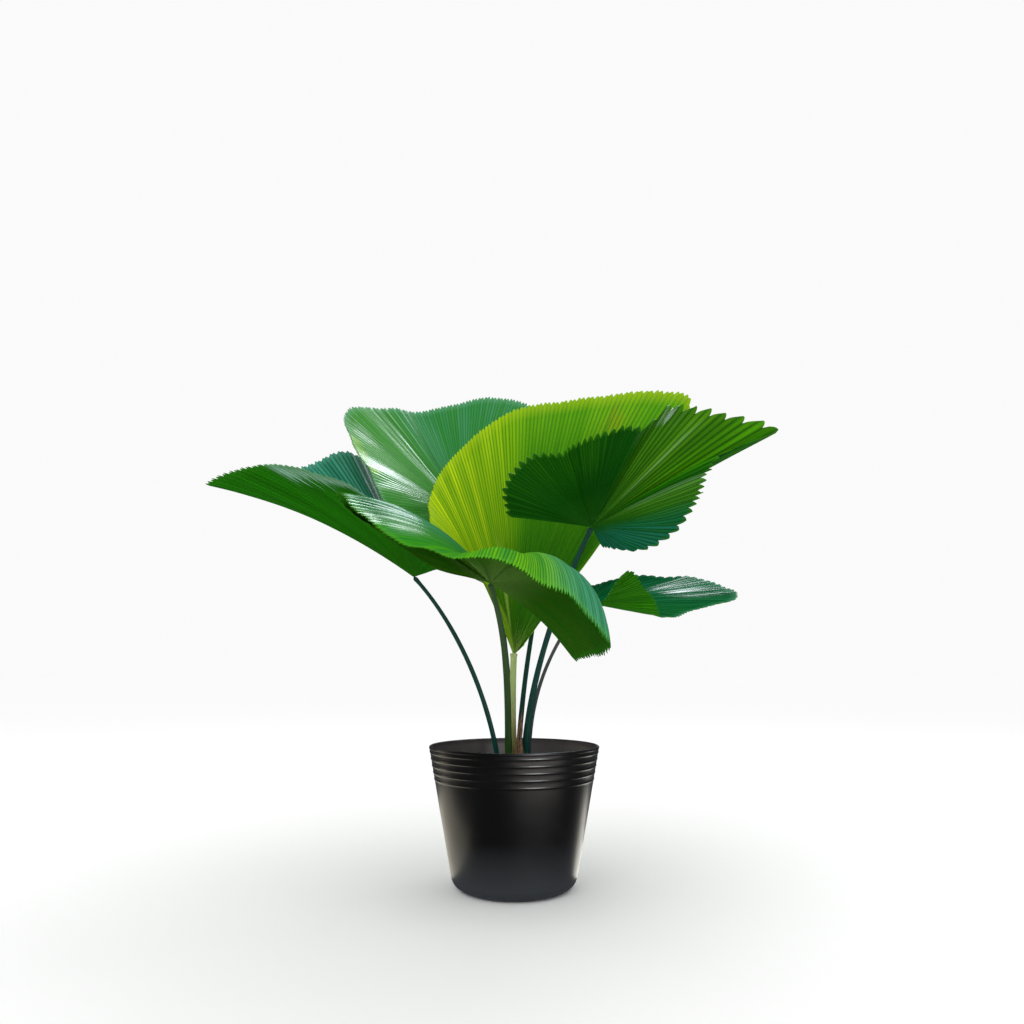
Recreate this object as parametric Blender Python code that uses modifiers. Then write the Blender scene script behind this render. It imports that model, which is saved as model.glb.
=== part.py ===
"""Ruffled fan palm in a black nursery pot.

The plant is a young clump of round, pleated fan leaves. Each leaf is a pleated
blade with a toothed margin, carried at its hub by a slender petiole that rises
from the soil. Metres, +Z up, origin at the middle of the pot's flat underside,
and the plant is seen from the front along +Y.
"""

import math
from typing import NamedTuple

import bmesh
import bpy
import numpy as np

COLLECTION_NAME = "potted_fan_palm"

# Clearance left between solids that touch on the real plant
SEAT_GAP = 0.0003

# Pot: a blow moulded nursery pot, round and tapered
POT_HEIGHT = 0.2165
POT_RIM_RADIUS = 0.140
POT_FOOT_RADIUS = 0.0975
POT_FOOT_FILLET = 0.022
POT_WALL = 0.003
POT_STEPS = 48
FILLET_SEGMENTS = 5
LIP_HEIGHT = 0.0045
RING_COUNT = 5
RING_FIRST_DEPTH = 0.0094
RING_PITCH = 0.0104
RING_HALF_HEIGHT = 0.0034
RING_RELIEF = 0.0013

# Soil: the filling of the pot, slightly domed
SOIL_TOP = 0.194
SOIL_EDGE_DROP = 0.006
SOIL_DOME_SEGMENTS = 4

# Petioles: tapered stalks, widened into a knuckle under the blade
PETIOLE_POINTS = 14
PETIOLE_BOOT = 0.004
NECK_SHARE = 0.8
KNUCKLE_POINTS = 2

# Dry leaf sheath at the foot of the centre petiole
SHEATH_FOOT = (0.008, -0.018)
SHEATH_HEIGHT = 0.084
SHEATH_BEND = 0.006
SHEATH_RADIUS = 0.0065
SHEATH_TIP_RADIUS = 0.0012
SHEATH_POINTS = 8

# Blades: one fan each, folded into pleats that end in teeth
PLEATS = 26
RADIAL_SEGMENTS = 4
TOOTH_SHARE = 0.055
PLEAT_DEPTH_SHARE = 0.16
PLEAT_RAMP = 0.06
HUB_CLEARANCE = 0.0006
BLADE_THICKNESS_SHARE = 0.0102
RIB_SAMPLES = 400

# Finishes: linear base colour and roughness
POT_FINISH = ((0.012, 0.012, 0.012), 0.35)
SOIL_FINISH = ((0.045, 0.030, 0.020), 0.95)
SHEATH_FINISH = ((0.120, 0.060, 0.030), 0.90)
PETIOLE_FINISH = ((0.010, 0.045, 0.035), 0.40)
BLADE_ROUGHNESS = 0.35


class Leaf(NamedTuple):
    """One leaf: its petiole and the guide ribs that set its blade out.

    hub is where the ribs meet. foot is the petiole's place on the soil, lean is
    the way it sets off from there, and arrive the way it comes up to the hub.
    seat is how far it runs on past the hub, to the inner edge of a narrow fan.
    Each guide rib is the tip's place from the hub and how far the rib arches
    towards the upper side, as a share of its length.
    """

    name: str
    hub: tuple
    foot: tuple
    lean: tuple
    arrive: tuple
    seat: float
    foot_radius: float
    tip_radius: float
    ribs: tuple
    colour: tuple


LEAVES = (
    Leaf(
        name="left",
        hub=(-0.171, -0.020, 0.493),
        foot=(-0.028, 0.000),
        lean=(-0.015, -0.010, 0.090),
        arrive=(-0.080, 0.000, 0.085),
        seat=0.0,
        foot_radius=0.0042,
        tip_radius=0.0040,
        ribs=(
            (0.050, -0.070, 0.005, 0.00),
            (0.045, -0.130, 0.030, 0.02),
            (-0.020, -0.200, 0.075, 0.08),
            (-0.120, -0.200, 0.130, 0.08),
            (-0.250, -0.120, 0.165, 0.04),
            (-0.365, 0.000, 0.165, 0.05),
            (-0.270, 0.220, 0.255, 0.00),
            (-0.175, 0.280, 0.305, 0.00),
            (-0.010, 0.240, 0.145, 0.00),
        ),
        colour=(0.020, 0.110, 0.010),
    ),
    Leaf(
        name="front",
        hub=(-0.038, -0.120, 0.471),
        foot=(-0.009, -0.016),
        lean=(-0.002, -0.014, 0.100),
        arrive=(-0.030, -0.050, 0.090),
        seat=0.0,
        foot_radius=0.0060,
        tip_radius=0.0052,
        ribs=(
            (0.127, -0.100, -0.122, 0.04),
            (0.156, -0.240, -0.110, 0.20),
            (0.112, -0.305, -0.070, 0.19),
            (0.060, -0.340, -0.040, 0.13),
            (0.015, -0.350, -0.014, 0.09),
            (-0.045, -0.340, -0.008, 0.06),
            (-0.115, -0.300, 0.022, 0.06),
            (-0.195, -0.240, 0.085, 0.10),
            (-0.165, -0.180, 0.060, 0.06),
            (-0.080, -0.060, 0.015, 0.00),
        ),
        colour=(0.018, 0.100, 0.010),
    ),
    Leaf(
        name="centre",
        hub=(-0.0005, 0.020, 0.363),
        foot=(-0.001, 0.002),
        lean=(-0.003, -0.001, 0.060),
        arrive=(0.002, 0.008, 0.060),
        seat=0.0038,
        foot_radius=0.0065,
        tip_radius=0.0065,
        ribs=(
            (-0.130, -0.110, 0.165, 0.16),
            (-0.152, 0.010, 0.285, 0.05),
            (-0.107, 0.050, 0.380, 0.03),
            (0.003, 0.100, 0.480, 0.03),
            (0.173, 0.110, 0.515, 0.03),
            (0.298, 0.100, 0.520, 0.02),
            (0.343, 0.080, 0.470, 0.02),
            (0.150, 0.030, 0.190, 0.00),
            (0.036, 0.008, 0.044, 0.00),
            (0.017, 0.004, 0.017, 0.00),
        ),
        colour=(0.230, 0.400, 0.010),
    ),
    Leaf(
        name="right",
        hub=(0.128, -0.080, 0.568),
        foot=(0.017, -0.002),
        lean=(0.006, -0.008, 0.095),
        arrive=(0.075, -0.040, 0.150),
        seat=0.0,
        foot_radius=0.0055,
        tip_radius=0.0048,
        ribs=(
            (0.014, -0.030, -0.040, 0.00),
            (0.070, -0.120, -0.058, 0.00),
            (0.125, -0.170, -0.012, 0.02),
            (0.198, -0.085, 0.100, -0.02),
            (0.293, -0.080, 0.148, 0.02),
            (0.230, -0.070, 0.172, 0.00),
            (0.150, -0.060, 0.192, 0.00),
            (0.120, -0.060, 0.192, 0.00),
            (0.085, -0.060, 0.158, 0.00),
            (0.045, -0.062, 0.156, 0.00),
            (-0.030, -0.068, 0.125, 0.00),
            (-0.055, -0.080, 0.106, 0.00),
            (-0.110, -0.080, 0.098, 0.00),
            (-0.148, -0.076, 0.052, 0.00),
            (-0.143, -0.040, 0.012, 0.00),
        ),
        colour=(0.015, 0.085, 0.008),
    ),
    Leaf(
        name="back_left",
        hub=(-0.095, 0.160, 0.638),
        foot=(-0.006, 0.021),
        lean=(-0.002, 0.012, 0.095),
        arrive=(-0.085, 0.060, 0.165),
        seat=0.0,
        foot_radius=0.0050,
        tip_radius=0.0048,
        ribs=(
            (-0.105, -0.140, -0.075, 0.00),
            (-0.160, -0.120, 0.030, 0.02),
            (-0.230, -0.020, 0.150, 0.00),
            (-0.262, 0.100, 0.260, 0.00),
            (-0.115, 0.160, 0.275, 0.00),
            (0.040, 0.160, 0.305, 0.00),
            (0.155, 0.120, 0.260, 0.00),
            (0.190, 0.060, 0.110, 0.00),
        ),
        colour=(0.030, 0.180, 0.040),
    ),
    Leaf(
        name="low_right",
        hub=(0.127, 0.050, 0.455),
        foot=(0.025, 0.014),
        lean=(0.002, -0.002, 0.085),
        arrive=(0.075, 0.020, 0.090),
        seat=0.0,
        foot_radius=0.0034,
        tip_radius=0.0036,
        ribs=(
            (0.025, 0.150, 0.045, 0.00),
            (0.135, 0.210, 0.075, 0.00),
            (0.250, 0.170, 0.065, 0.00),
            (0.285, 0.030, 0.015, 0.00),
            (0.140, -0.070, -0.030, 0.00),
            (0.100, -0.130, -0.005, 0.00),
            (0.055, -0.170, 0.035, -0.02),
            (0.020, -0.150, -0.010, 0.00),
        ),
        colour=(0.020, 0.130, 0.020),
    ),
    Leaf(
        name="back_right",
        hub=(0.066, 0.130, 0.567),
        foot=(0.007, 0.023),
        lean=(0.006, 0.010, 0.095),
        arrive=(0.037, 0.050, 0.160),
        seat=0.0009,
        foot_radius=0.0045,
        tip_radius=0.0048,
        ribs=(
            (-0.075, 0.130, 0.125, 0.00),
            (-0.030, 0.250, 0.270, 0.00),
            (0.120, 0.310, 0.335, 0.00),
            (0.260, 0.290, 0.280, 0.00),
            (0.300, 0.190, 0.140, 0.00),
            (0.185, 0.090, 0.065, 0.00),
            (0.080, 0.010, 0.010, 0.00),
        ),
        colour=(0.025, 0.150, 0.025),
    ),
    Leaf(
        name="back",
        hub=(-0.030, 0.130, 0.487),
        foot=(-0.004, 0.038),
        lean=(0.000, 0.022, 0.095),
        arrive=(-0.015, 0.030, 0.100),
        seat=0.0005,
        foot_radius=0.0045,
        tip_radius=0.0048,
        ribs=(
            (-0.120, 0.030, 0.060, 0.00),
            (-0.155, 0.170, 0.125, 0.00),
            (-0.085, 0.290, 0.180, 0.04),
            (0.020, 0.330, 0.200, 0.04),
            (0.130, 0.270, 0.155, 0.04),
            (0.155, 0.130, 0.075, 0.00),
            (0.090, 0.030, 0.020, 0.00),
        ),
        colour=(0.020, 0.120, 0.015),
    ),
)


def clear_scene():
    """Remove the objects and the empty collections of the open file."""
    for item in list(bpy.data.objects):
        bpy.data.objects.remove(item, do_unlink=True)
    for group in list(bpy.data.collections):
        bpy.data.collections.remove(group)


def make_material(name, colour, roughness):
    """A plain dielectric finish for one sub-part."""
    material = bpy.data.materials.new(name)
    material.use_nodes = True
    shader = material.node_tree.nodes["Principled BSDF"]
    shader.inputs["Base Color"].default_value = (*colour, 1.0)
    shader.inputs["Roughness"].default_value = roughness
    shader.inputs["Metallic"].default_value = 0.0
    return material


def add_object(collection, name, data, material):
    """Put mesh or curve data in the part's collection under its node name."""
    item = bpy.data.objects.new(name, data)
    data.materials.append(material)
    collection.objects.link(item)
    return item


def turned_part(collection, name, profile, material):
    """Turn a profile of (radius, height) points about the Z axis."""
    mesh = bpy.data.meshes.new(name)
    bm = bmesh.new()
    points = [bm.verts.new((radius, 0.0, height)) for radius, height in profile]
    for first, second in zip(points[:-1], points[1:]):
        bm.edges.new((first, second))
    bm.to_mesh(mesh)
    bm.free()
    item = add_object(collection, name, mesh, material)
    screw = item.modifiers.new("turn", "SCREW")
    screw.axis = "Z"
    screw.steps = POT_STEPS
    screw.render_steps = POT_STEPS
    screw.use_merge_vertices = True
    screw.merge_threshold = 0.00001
    screw.use_smooth_shade = True
    return item


def tapered_tube(collection, name, path, radii, material):
    """A round stalk along a path, with a radius of its own at each point."""
    curve = bpy.data.curves.new(name, "CURVE")
    curve.dimensions = "3D"
    curve.bevel_depth = 1.0
    curve.bevel_resolution = 2
    curve.use_fill_caps = True
    spline = curve.splines.new("POLY")
    spline.points.add(len(path) - 1)
    for point, place, radius in zip(spline.points, path, radii):
        point.co = (*place, 1.0)
        point.radius = radius
    spline.use_smooth = True
    return add_object(collection, name, curve, material)


def wall_radius(height, inset=0.0):
    """Radius of the pot's tapered wall at a height, or of a wall set in from it."""
    taper = (POT_RIM_RADIUS - POT_FOOT_RADIUS) / POT_HEIGHT
    return POT_FOOT_RADIUS + taper * height - inset / math.cos(math.atan(taper))


def foot_fillet(radius, floor, inset):
    """The rounded corner between a flat floor and the tapered wall, wall end first."""
    slope = math.atan((POT_RIM_RADIUS - POT_FOOT_RADIUS) / POT_HEIGHT)
    centre_height = floor + radius
    centre = wall_radius(centre_height, inset + radius)
    angles = np.linspace(-slope, -math.pi / 2, FILLET_SEGMENTS + 1)
    return [(centre + radius * math.cos(a), centre_height + radius * math.sin(a)) for a in angles]


def pot_profile():
    """Inner floor, inner wall, lip, ringed outer wall and foot, in that order."""
    inner_fillet = foot_fillet(POT_FOOT_FILLET - POT_WALL, POT_WALL, POT_WALL)
    points = [(0.0, POT_WALL)]
    points += inner_fillet[::-1]
    points.append((wall_radius(POT_HEIGHT, POT_WALL), POT_HEIGHT))
    points.append((POT_RIM_RADIUS, POT_HEIGHT))
    points.append((POT_RIM_RADIUS, POT_HEIGHT - LIP_HEIGHT))
    for ring in range(RING_COUNT):
        middle = POT_HEIGHT - RING_FIRST_DEPTH - ring * RING_PITCH
        for offset, relief in ((1.0, 0.0), (0.0, RING_RELIEF), (-1.0, 0.0)):
            height = middle + offset * RING_HALF_HEIGHT
            points.append((wall_radius(height) + relief, height))
    points += foot_fillet(POT_FOOT_FILLET, 0.0, 0.0)
    points.append((0.0, 0.0))
    return points


def soil_profile():
    """Domed top from the axis out, then down the pot's inner wall to its floor."""
    inset = POT_WALL + SEAT_GAP
    edge_height = SOIL_TOP - SOIL_EDGE_DROP
    edge_radius = wall_radius(edge_height, inset)
    points = []
    for step in range(SOIL_DOME_SEGMENTS + 1):
        share = step / SOIL_DOME_SEGMENTS
        points.append((edge_radius * share, SOIL_TOP - SOIL_EDGE_DROP * share**2))
    points += foot_fillet(POT_FOOT_FILLET - inset, inset, inset)
    points.append((0.0, inset))
    return points


def smooth_run(values, share):
    """Catmull-Rom curve through evenly spaced rows of values, at shares from 0 to 1."""
    rows = np.asarray(values, dtype=float)
    last = len(rows) - 1
    place = np.clip(np.asarray(share, dtype=float), 0.0, 1.0) * last
    index = np.minimum(place.astype(int), last - 1)
    u = (place - index)[:, None]
    padded = np.concatenate([[2 * rows[0] - rows[1]], rows, [2 * rows[-1] - rows[-2]]])
    before, start, end, after = (padded[index + k] for k in range(4))
    square = 2 * before - 5 * start + 4 * end - after
    cube = 3 * start - before - 3 * end + after
    return 0.5 * (2 * start + (end - before) * u + square * u**2 + cube * u**3)


def unit_rows(vectors):
    """Each row scaled to length one."""
    return vectors / np.linalg.norm(vectors, axis=1)[:, None]


def rib_fan(ribs, count):
    """Chords, arches and upper normals of count + 1 ribs at even angles round the hub."""
    samples = np.linspace(0.0, 1.0, RIB_SAMPLES)
    directions = unit_rows(smooth_run(ribs, samples)[:, :3])
    turns = np.arccos(np.clip((directions[1:] * directions[:-1]).sum(axis=1), -1.0, 1.0))
    swept = np.concatenate([[0.0], np.cumsum(turns)])
    share = np.interp(np.linspace(0.0, swept[-1], count + 1), swept, samples)
    rows = smooth_run(ribs, share)
    step = 1.0 / RIB_SAMPLES
    ahead = unit_rows(smooth_run(ribs, share + step)[:, :3])
    behind = unit_rows(smooth_run(ribs, share - step)[:, :3])
    normals = unit_rows(np.cross(ahead - behind, unit_rows(rows[:, :3])))
    return rows[:, :3], rows[:, 3], normals, swept[-1]


def blade_points(leaf, pleats, radial):
    """Points of a blade's middle surface as an array of columns, rows and coordinates."""
    columns = 2 * pleats
    chords, arches, normals, spread = rib_fan(leaf.ribs, columns)
    reach = np.linalg.norm(chords, axis=1)[:, None]
    crest = np.arange(columns + 1) % 2 == 1
    inner = (leaf.tip_radius + HUB_CLEARANCE) / reach
    outer = np.where(crest, 1.0, 1.0 - TOOTH_SHARE)[:, None]
    along = inner + (outer - inner) * np.linspace(0.0, 1.0, radial + 1)[None, :]
    depth = np.where(crest, 1.0, -1.0)[:, None] * PLEAT_DEPTH_SHARE * spread * reach / columns
    ramp = np.clip((along - inner) * reach / PLEAT_RAMP, 0.0, 1.0)
    lift = 4 * arches[:, None] * along * (1 - along) * reach + depth * along * ramp
    surface = chords[:, None, :] * along[..., None] + normals[:, None, :] * lift[..., None]
    return np.array(leaf.hub) + surface


def pleated_blade(collection, leaf):
    """A blade: a flat grid laid out along the ribs and given its thickness."""
    points = blade_points(leaf, PLEATS, RADIAL_SEGMENTS)
    columns = points.shape[0] - 1
    name = "blade_" + leaf.name
    mesh = bpy.data.meshes.new(name)
    bm = bmesh.new()
    bmesh.ops.create_grid(bm, x_segments=columns, y_segments=RADIAL_SEGMENTS, size=1.0)
    for vert in bm.verts:
        column = round((vert.co.x + 1.0) / 2.0 * columns)
        row = round((vert.co.y + 1.0) / 2.0 * RADIAL_SEGMENTS)
        vert.co = points[column, row]
    bm.to_mesh(mesh)
    bm.free()
    item = add_object(collection, name, mesh, make_material(name, leaf.colour, BLADE_ROUGHNESS))
    longest = max(math.hypot(*rib[:3]) for rib in leaf.ribs)
    solid = item.modifiers.new("thickness", "SOLIDIFY")
    solid.thickness = longest * BLADE_THICKNESS_SHARE
    solid.offset = 0.0
    return item


def petiole_path(leaf):
    """Points from the soil to the hub: a short upright boot, then one smooth bend."""
    foot = np.array([*leaf.foot, SOIL_TOP + SEAT_GAP])
    start = foot + np.array([0.0, 0.0, PETIOLE_BOOT])
    arrive = np.array(leaf.arrive)
    hub = np.array(leaf.hub) + arrive / np.linalg.norm(arrive) * leaf.seat
    first = start + np.array(leaf.lean)
    second = hub - arrive
    t = np.linspace(0.0, 1.0, PETIOLE_POINTS - 1)[:, None]
    bend = (1 - t) ** 3 * start + 3 * (1 - t) ** 2 * t * first + 3 * (1 - t) * t**2 * second + t**3 * hub
    return np.concatenate([foot[None, :], bend])


def petiole(collection, leaf):
    """A tapered stalk whose last points widen into the knuckle under the blade."""
    path = petiole_path(leaf)
    neck = min(leaf.foot_radius, leaf.tip_radius) * NECK_SHARE
    radii = np.linspace(leaf.foot_radius, neck, len(path))
    radii[-KNUCKLE_POINTS:] = np.linspace(neck, leaf.tip_radius, KNUCKLE_POINTS + 1)[1:]
    name = "petiole_" + leaf.name
    return tapered_tube(collection, name, path, radii, make_material(name, *PETIOLE_FINISH))


def leaf_sheath(collection):
    """The dry, tapering sheath that stands at the foot of the centre petiole."""
    share = np.linspace(0.0, 1.0, SHEATH_POINTS)
    path = np.stack(
        [
            SHEATH_FOOT[0] + SHEATH_BEND * share**2,
            np.full_like(share, SHEATH_FOOT[1]),
            SOIL_TOP + SEAT_GAP + SHEATH_HEIGHT * share,
        ],
        axis=1,
    )
    radii = SHEATH_RADIUS + (SHEATH_TIP_RADIUS - SHEATH_RADIUS) * share**1.5
    return tapered_tube(collection, "leaf_sheath", path, radii, make_material("leaf_sheath", *SHEATH_FINISH))


def main():
    """Build the pot, the soil and every leaf."""
    clear_scene()
    collection = bpy.data.collections.new(COLLECTION_NAME)
    bpy.context.scene.collection.children.link(collection)
    turned_part(collection, "pot", pot_profile(), make_material("pot", *POT_FINISH))
    turned_part(collection, "soil", soil_profile(), make_material("soil", *SOIL_FINISH))
    leaf_sheath(collection)
    for leaf in LEAVES:
        petiole(collection, leaf)
        pleated_blade(collection, leaf)


main()
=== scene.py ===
"""Looks for a ruffled fan palm in a black nursery pot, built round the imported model."""

import logging
import math
from dataclasses import dataclass
from enum import Enum

import bpy
import numpy as np
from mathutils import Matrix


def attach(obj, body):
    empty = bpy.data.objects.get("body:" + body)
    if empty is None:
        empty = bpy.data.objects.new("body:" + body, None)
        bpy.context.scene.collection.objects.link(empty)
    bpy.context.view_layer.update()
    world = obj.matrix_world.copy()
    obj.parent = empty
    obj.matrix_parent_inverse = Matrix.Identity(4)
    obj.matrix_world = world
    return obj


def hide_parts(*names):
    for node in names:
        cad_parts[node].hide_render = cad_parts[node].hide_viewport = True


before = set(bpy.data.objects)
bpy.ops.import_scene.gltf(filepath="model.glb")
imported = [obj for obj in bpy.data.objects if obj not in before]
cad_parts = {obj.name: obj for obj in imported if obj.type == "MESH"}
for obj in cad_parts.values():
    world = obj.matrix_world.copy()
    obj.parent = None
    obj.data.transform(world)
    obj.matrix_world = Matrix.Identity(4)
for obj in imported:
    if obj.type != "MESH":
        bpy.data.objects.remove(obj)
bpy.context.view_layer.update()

LOG = logging.getLogger("potted_fan_palm")
MM = 0.001
SOIL_TOP = 194 * MM

Vector3 = tuple[float, float, float]
Stops = tuple[tuple[float, str], ...]
Points = np.ndarray


class ToothCut(Enum):
    """How a pleat's end is cut: shares of the tooth's length at its eight steps."""

    PAIRED = (0.0, 0.6, 1.0, 0.75, 0.25, 0.7, 1.0, 0.6)
    SAW = (0.0, 0.3, 0.65, 1.0, 0.35, 0.55, 0.85, 0.5)
    FINGER = (0.0, 0.5, 0.85, 1.0, 0.9, 0.75, 0.6, 0.4)


class Reach(Enum):
    """What a lamp does: it fills the matt tones, or draws gloss on the leaves or the pot."""

    FILL = "fill"
    GLOSS = "gloss"
    POT_GLOSS = "pot_gloss"


def srgb(code: str) -> tuple[float, float, float, float]:
    """Turn an sRGB hex colour into Blender's linear colour.

    Args:
        code: Six hex digits after a hash sign.

    Returns:
        Linear red, green, blue and an alpha of one.
    """
    values = [int(code[i : i + 2], 16) / 255.0 for i in (1, 3, 5)]
    linear = [v / 12.92 if v <= 0.04045 else ((v + 0.055) / 1.055) ** 2.4 for v in values]
    return (linear[0], linear[1], linear[2], 1.0)


def set_inputs(tree: bpy.types.NodeTree, node: bpy.types.Node, inputs: dict[str | int, object]) -> None:
    """Link each input that is given a socket, and set the others to their values.

    Args:
        tree: The material's node tree.
        node: The node.
        inputs: Values or sockets, by input name or number.
    """
    for key, value in inputs.items():
        if isinstance(value, bpy.types.NodeSocket):
            tree.links.new(value, node.inputs[key])
        else:
            node.inputs[key].default_value = value


def add_node(
    tree: bpy.types.NodeTree,
    kind: str,
    inputs: dict[str | int, object] | None = None,
    stops: Stops = (),
    **settings: object,
) -> bpy.types.Node:
    """Add a shader node with its settings, values and links.

    Args:
        tree: The material's node tree.
        kind: The node's type name, without the word ShaderNode.
        inputs: Values, or sockets to link, by input name or number.
        stops: Places from 0 to 1 with their hex colours, where the node is a ramp.
        **settings: Attributes of the node.

    Returns:
        The new node.
    """
    node = tree.nodes.new("ShaderNode" + kind)
    for key, value in settings.items():
        setattr(node, key, value)
    set_inputs(tree, node, inputs or {})
    if stops:
        elements = node.color_ramp.elements
        for element, (place, code) in zip((elements[0], elements[1]), (stops[0], stops[-1])):
            element.position = place
            element.color = srgb(code)
        for place, code in stops[1:-1]:
            elements.new(place).color = srgb(code)
    return node


def new_material(name: str) -> tuple[bpy.types.Material, bpy.types.NodeTree, bpy.types.Node]:
    """Make a node material.

    Args:
        name: The material's name.

    Returns:
        The material, its tree and its Principled shader.
    """
    material = bpy.data.materials.new(name)
    material.use_nodes = True
    tree = material.node_tree
    return material, tree, tree.nodes["Principled BSDF"]


@dataclass(frozen=True)
class Tint:
    """A stretch of a leaf's face with a colour of its own or a coat of wax, ragged at its ends.

    start and end are places across the fan, inner and outer places along its ribs,
    all as shares. With no colour the stretch is a clear coat of wax, which only the
    lamps brighten. A colour is pigment on some stretches, and on others painted
    sheen or painted shade. share is how much of it shows, soft is the half width
    of its edges, and even is the least of it on any half pleat.
    """

    start: float
    end: float
    inner: float
    outer: float
    colour: str | None
    share: float
    soft: float
    even: float = 0.25


@dataclass(frozen=True)
class PalmLamina:
    """One face of a living palm leaf: a waxy cuticle over fine parallel veins.

    The bare cuticle is nearly matt, and where thicker wax lies on it a clear coat
    gives the gloss. The colour runs across the fan from the first rib to the last,
    segments differ in tone, and streaks follow the veins. On some faces the colour
    also holds painted reflection of the sky, painted sheen and painted shade.
    """

    name: str
    across: Stops
    hub: str
    streak: str
    fold_line: str
    hub_line: str
    margin: str
    roughness: float
    shine: float
    tints: tuple[Tint, ...] = ()
    wax_roughness: float = 0.2
    streak_share: float = 0.5
    segment_share: float = 0.45
    hub_reach: float = 0.5
    # Real veins are 1.4 mm apart. Four to a pleat, 1.6 to 3.6 mm at the margin, are what shows
    veins_per_pleat: float = 4.0

    def stretch(
        self,
        tree: bpy.types.NodeTree,
        across: bpy.types.NodeSocket,
        along: bpy.types.NodeSocket,
        chance: bpy.types.NodeSocket,
        tint: Tint,
    ) -> bpy.types.NodeSocket:
        """Mask of the stretch that a tint covers.

        Args:
            tree: The material's node tree.
            across: Place across the fan.
            along: Place along the ribs, made ragged by the streaks.
            chance: A number of its own for each half pleat, which breaks it into lines.
            tint: The tint.

        Returns:
            The mask's socket.
        """
        cover = {"Value": chance, "To Min": tint.share * tint.even, "To Max": tint.share}
        mask = add_node(tree, "MapRange", cover).outputs["Result"]
        for value, low, high, soft in (
            (across, tint.start, tint.end, tint.soft * 0.4),
            (along, tint.inner, tint.outer, tint.soft),
        ):
            for edge, before, after in ((low, 0.0, 1.0), (high, 1.0, 0.0)):
                rise = {"From Min": edge - soft, "From Max": edge + soft, "To Min": before, "To Max": after}
                rise["Value"] = value
                step = add_node(tree, "MapRange", rise, interpolation_type="SMOOTHSTEP").outputs["Result"]
                mask = add_node(tree, "Math", {0: mask, 1: step}, operation="MULTIPLY").outputs["Value"]
        return mask

    def make(self, pleats: int) -> bpy.types.Material:
        """Build the material.

        Args:
            pleats: Number of pleats across the blade, the span of the first UV axis.

        Returns:
            The material of this face.
        """
        material, tree, shader = new_material(self.name)
        places = add_node(tree, "UVMap", uv_map="fan").outputs["UV"]
        axes = add_node(tree, "SeparateXYZ", {0: places})
        across, along = axes.outputs["X"], axes.outputs["Y"]
        fan_share = {"Value": across, "From Max": float(pleats)}
        share = add_node(tree, "MapRange", fan_share).outputs["Result"]
        # Layers over the ramp's colour, in their order: how much shows, and the colour
        near_hub = {"From Min": 0.04, "From Max": self.hub_reach, "To Min": 0.85, "To Max": 0.0}
        near_hub["Value"] = along
        layers = [(add_node(tree, "MapRange", near_hub).outputs["Result"], srgb(self.hub))]
        # Each segment has a tone of its own, then streaks a few veins wide run along the ribs
        for size, amount in ((0.7, self.segment_share), (2.0, self.segment_share * 0.8)):
            number = add_node(tree, "Math", {0: across, 1: size}, operation="MULTIPLY").outputs["Value"]
            whole = add_node(tree, "Math", {0: number}, operation="FLOOR").outputs["Value"]
            chance = add_node(tree, "TexWhiteNoise", {"W": whole}, noise_dimensions="1D").outputs["Value"]
            tone = {"Value": chance, "From Min": 0.35, "From Max": 1.0, "To Max": amount}
            layers.append((add_node(tree, "MapRange", tone).outputs["Result"], srgb(self.streak)))
        for scale, low, high, amount in (
            ((0.62, 0.9, 1.0), 0.42, 0.66, self.streak_share),
            ((2.6, 2.2, 1.0), 0.46, 0.74, self.streak_share * 0.8),
        ):
            stretched = add_node(tree, "Mapping", {"Vector": places, "Scale": scale}).outputs["Vector"]
            grain = {"Vector": stretched, "Scale": 1.0, "Detail": 3.0, "Roughness": 0.6}
            streaks = add_node(tree, "TexNoise", grain).outputs["Fac"]
            tone = {"Value": streaks, "From Min": low, "From Max": high, "To Max": amount}
            layers.append((add_node(tree, "MapRange", tone).outputs["Result"], srgb(self.streak)))
        uneven = {"Value": streaks, "From Min": 0.3, "From Max": 0.7, "To Min": -0.12, "To Max": 0.12}
        ragged = add_node(tree, "MapRange", uneven).outputs["Result"]
        ends = add_node(tree, "Math", {0: along, 1: ragged}, operation="ADD").outputs["Value"]
        wax = None
        # Tints with a colour are painted over the base: pigment on some, painted sheen or painted shade on
        # others. The rest thicken the clear coat
        for tint in self.tints:
            mask = self.stretch(tree, share, ends, chance, tint)
            if tint.colour is not None:
                layers.append((mask, srgb(tint.colour)))
            elif wax is None:
                wax = mask
            else:
                wax = add_node(tree, "Math", {0: wax, 1: mask}, operation="MAXIMUM").outputs["Value"]
        band = {
            "Vector": places,
            "Scale": self.veins_per_pleat * 2.0 * math.pi / 20.0,
            "Distortion": 0.5,
            "Detail": 2.0,
            "Detail Scale": 0.6,
        }
        veins = add_node(tree, "TexWave", band, wave_type="BANDS", bands_direction="X").outputs["Fac"]
        tone = {"Value": veins, "From Min": 0.5, "From Max": 1.0, "To Max": 0.22}
        layers.append((add_node(tree, "MapRange", tone).outputs["Result"], srgb(self.fold_line)))
        from_fold = add_node(tree, "Math", {0: across, 1: 0.25}, operation="PINGPONG").outputs["Value"]
        line = {"Value": from_fold, "From Min": 0.03, "From Max": 0.12, "To Min": 0.75, "To Max": 0.0}
        outward = add_node(tree, "MapRange", {"Value": along, "From Min": 0.05, "From Max": 0.4})
        line_mix = {0: outward.outputs["Result"], 6: srgb(self.hub_line), 7: srgb(self.fold_line)}
        line_colour = add_node(tree, "Mix", line_mix, data_type="RGBA").outputs[2]
        layers.append((add_node(tree, "MapRange", line).outputs["Result"], line_colour))
        at_margin = {"Value": along, "From Min": 0.93, "From Max": 1.0, "To Max": 0.6}
        layers.append((add_node(tree, "MapRange", at_margin).outputs["Result"], srgb(self.margin)))
        colour = add_node(tree, "ValToRGB", {"Fac": share}, stops=self.across).outputs["Color"]
        for amount, over in layers:
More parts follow.
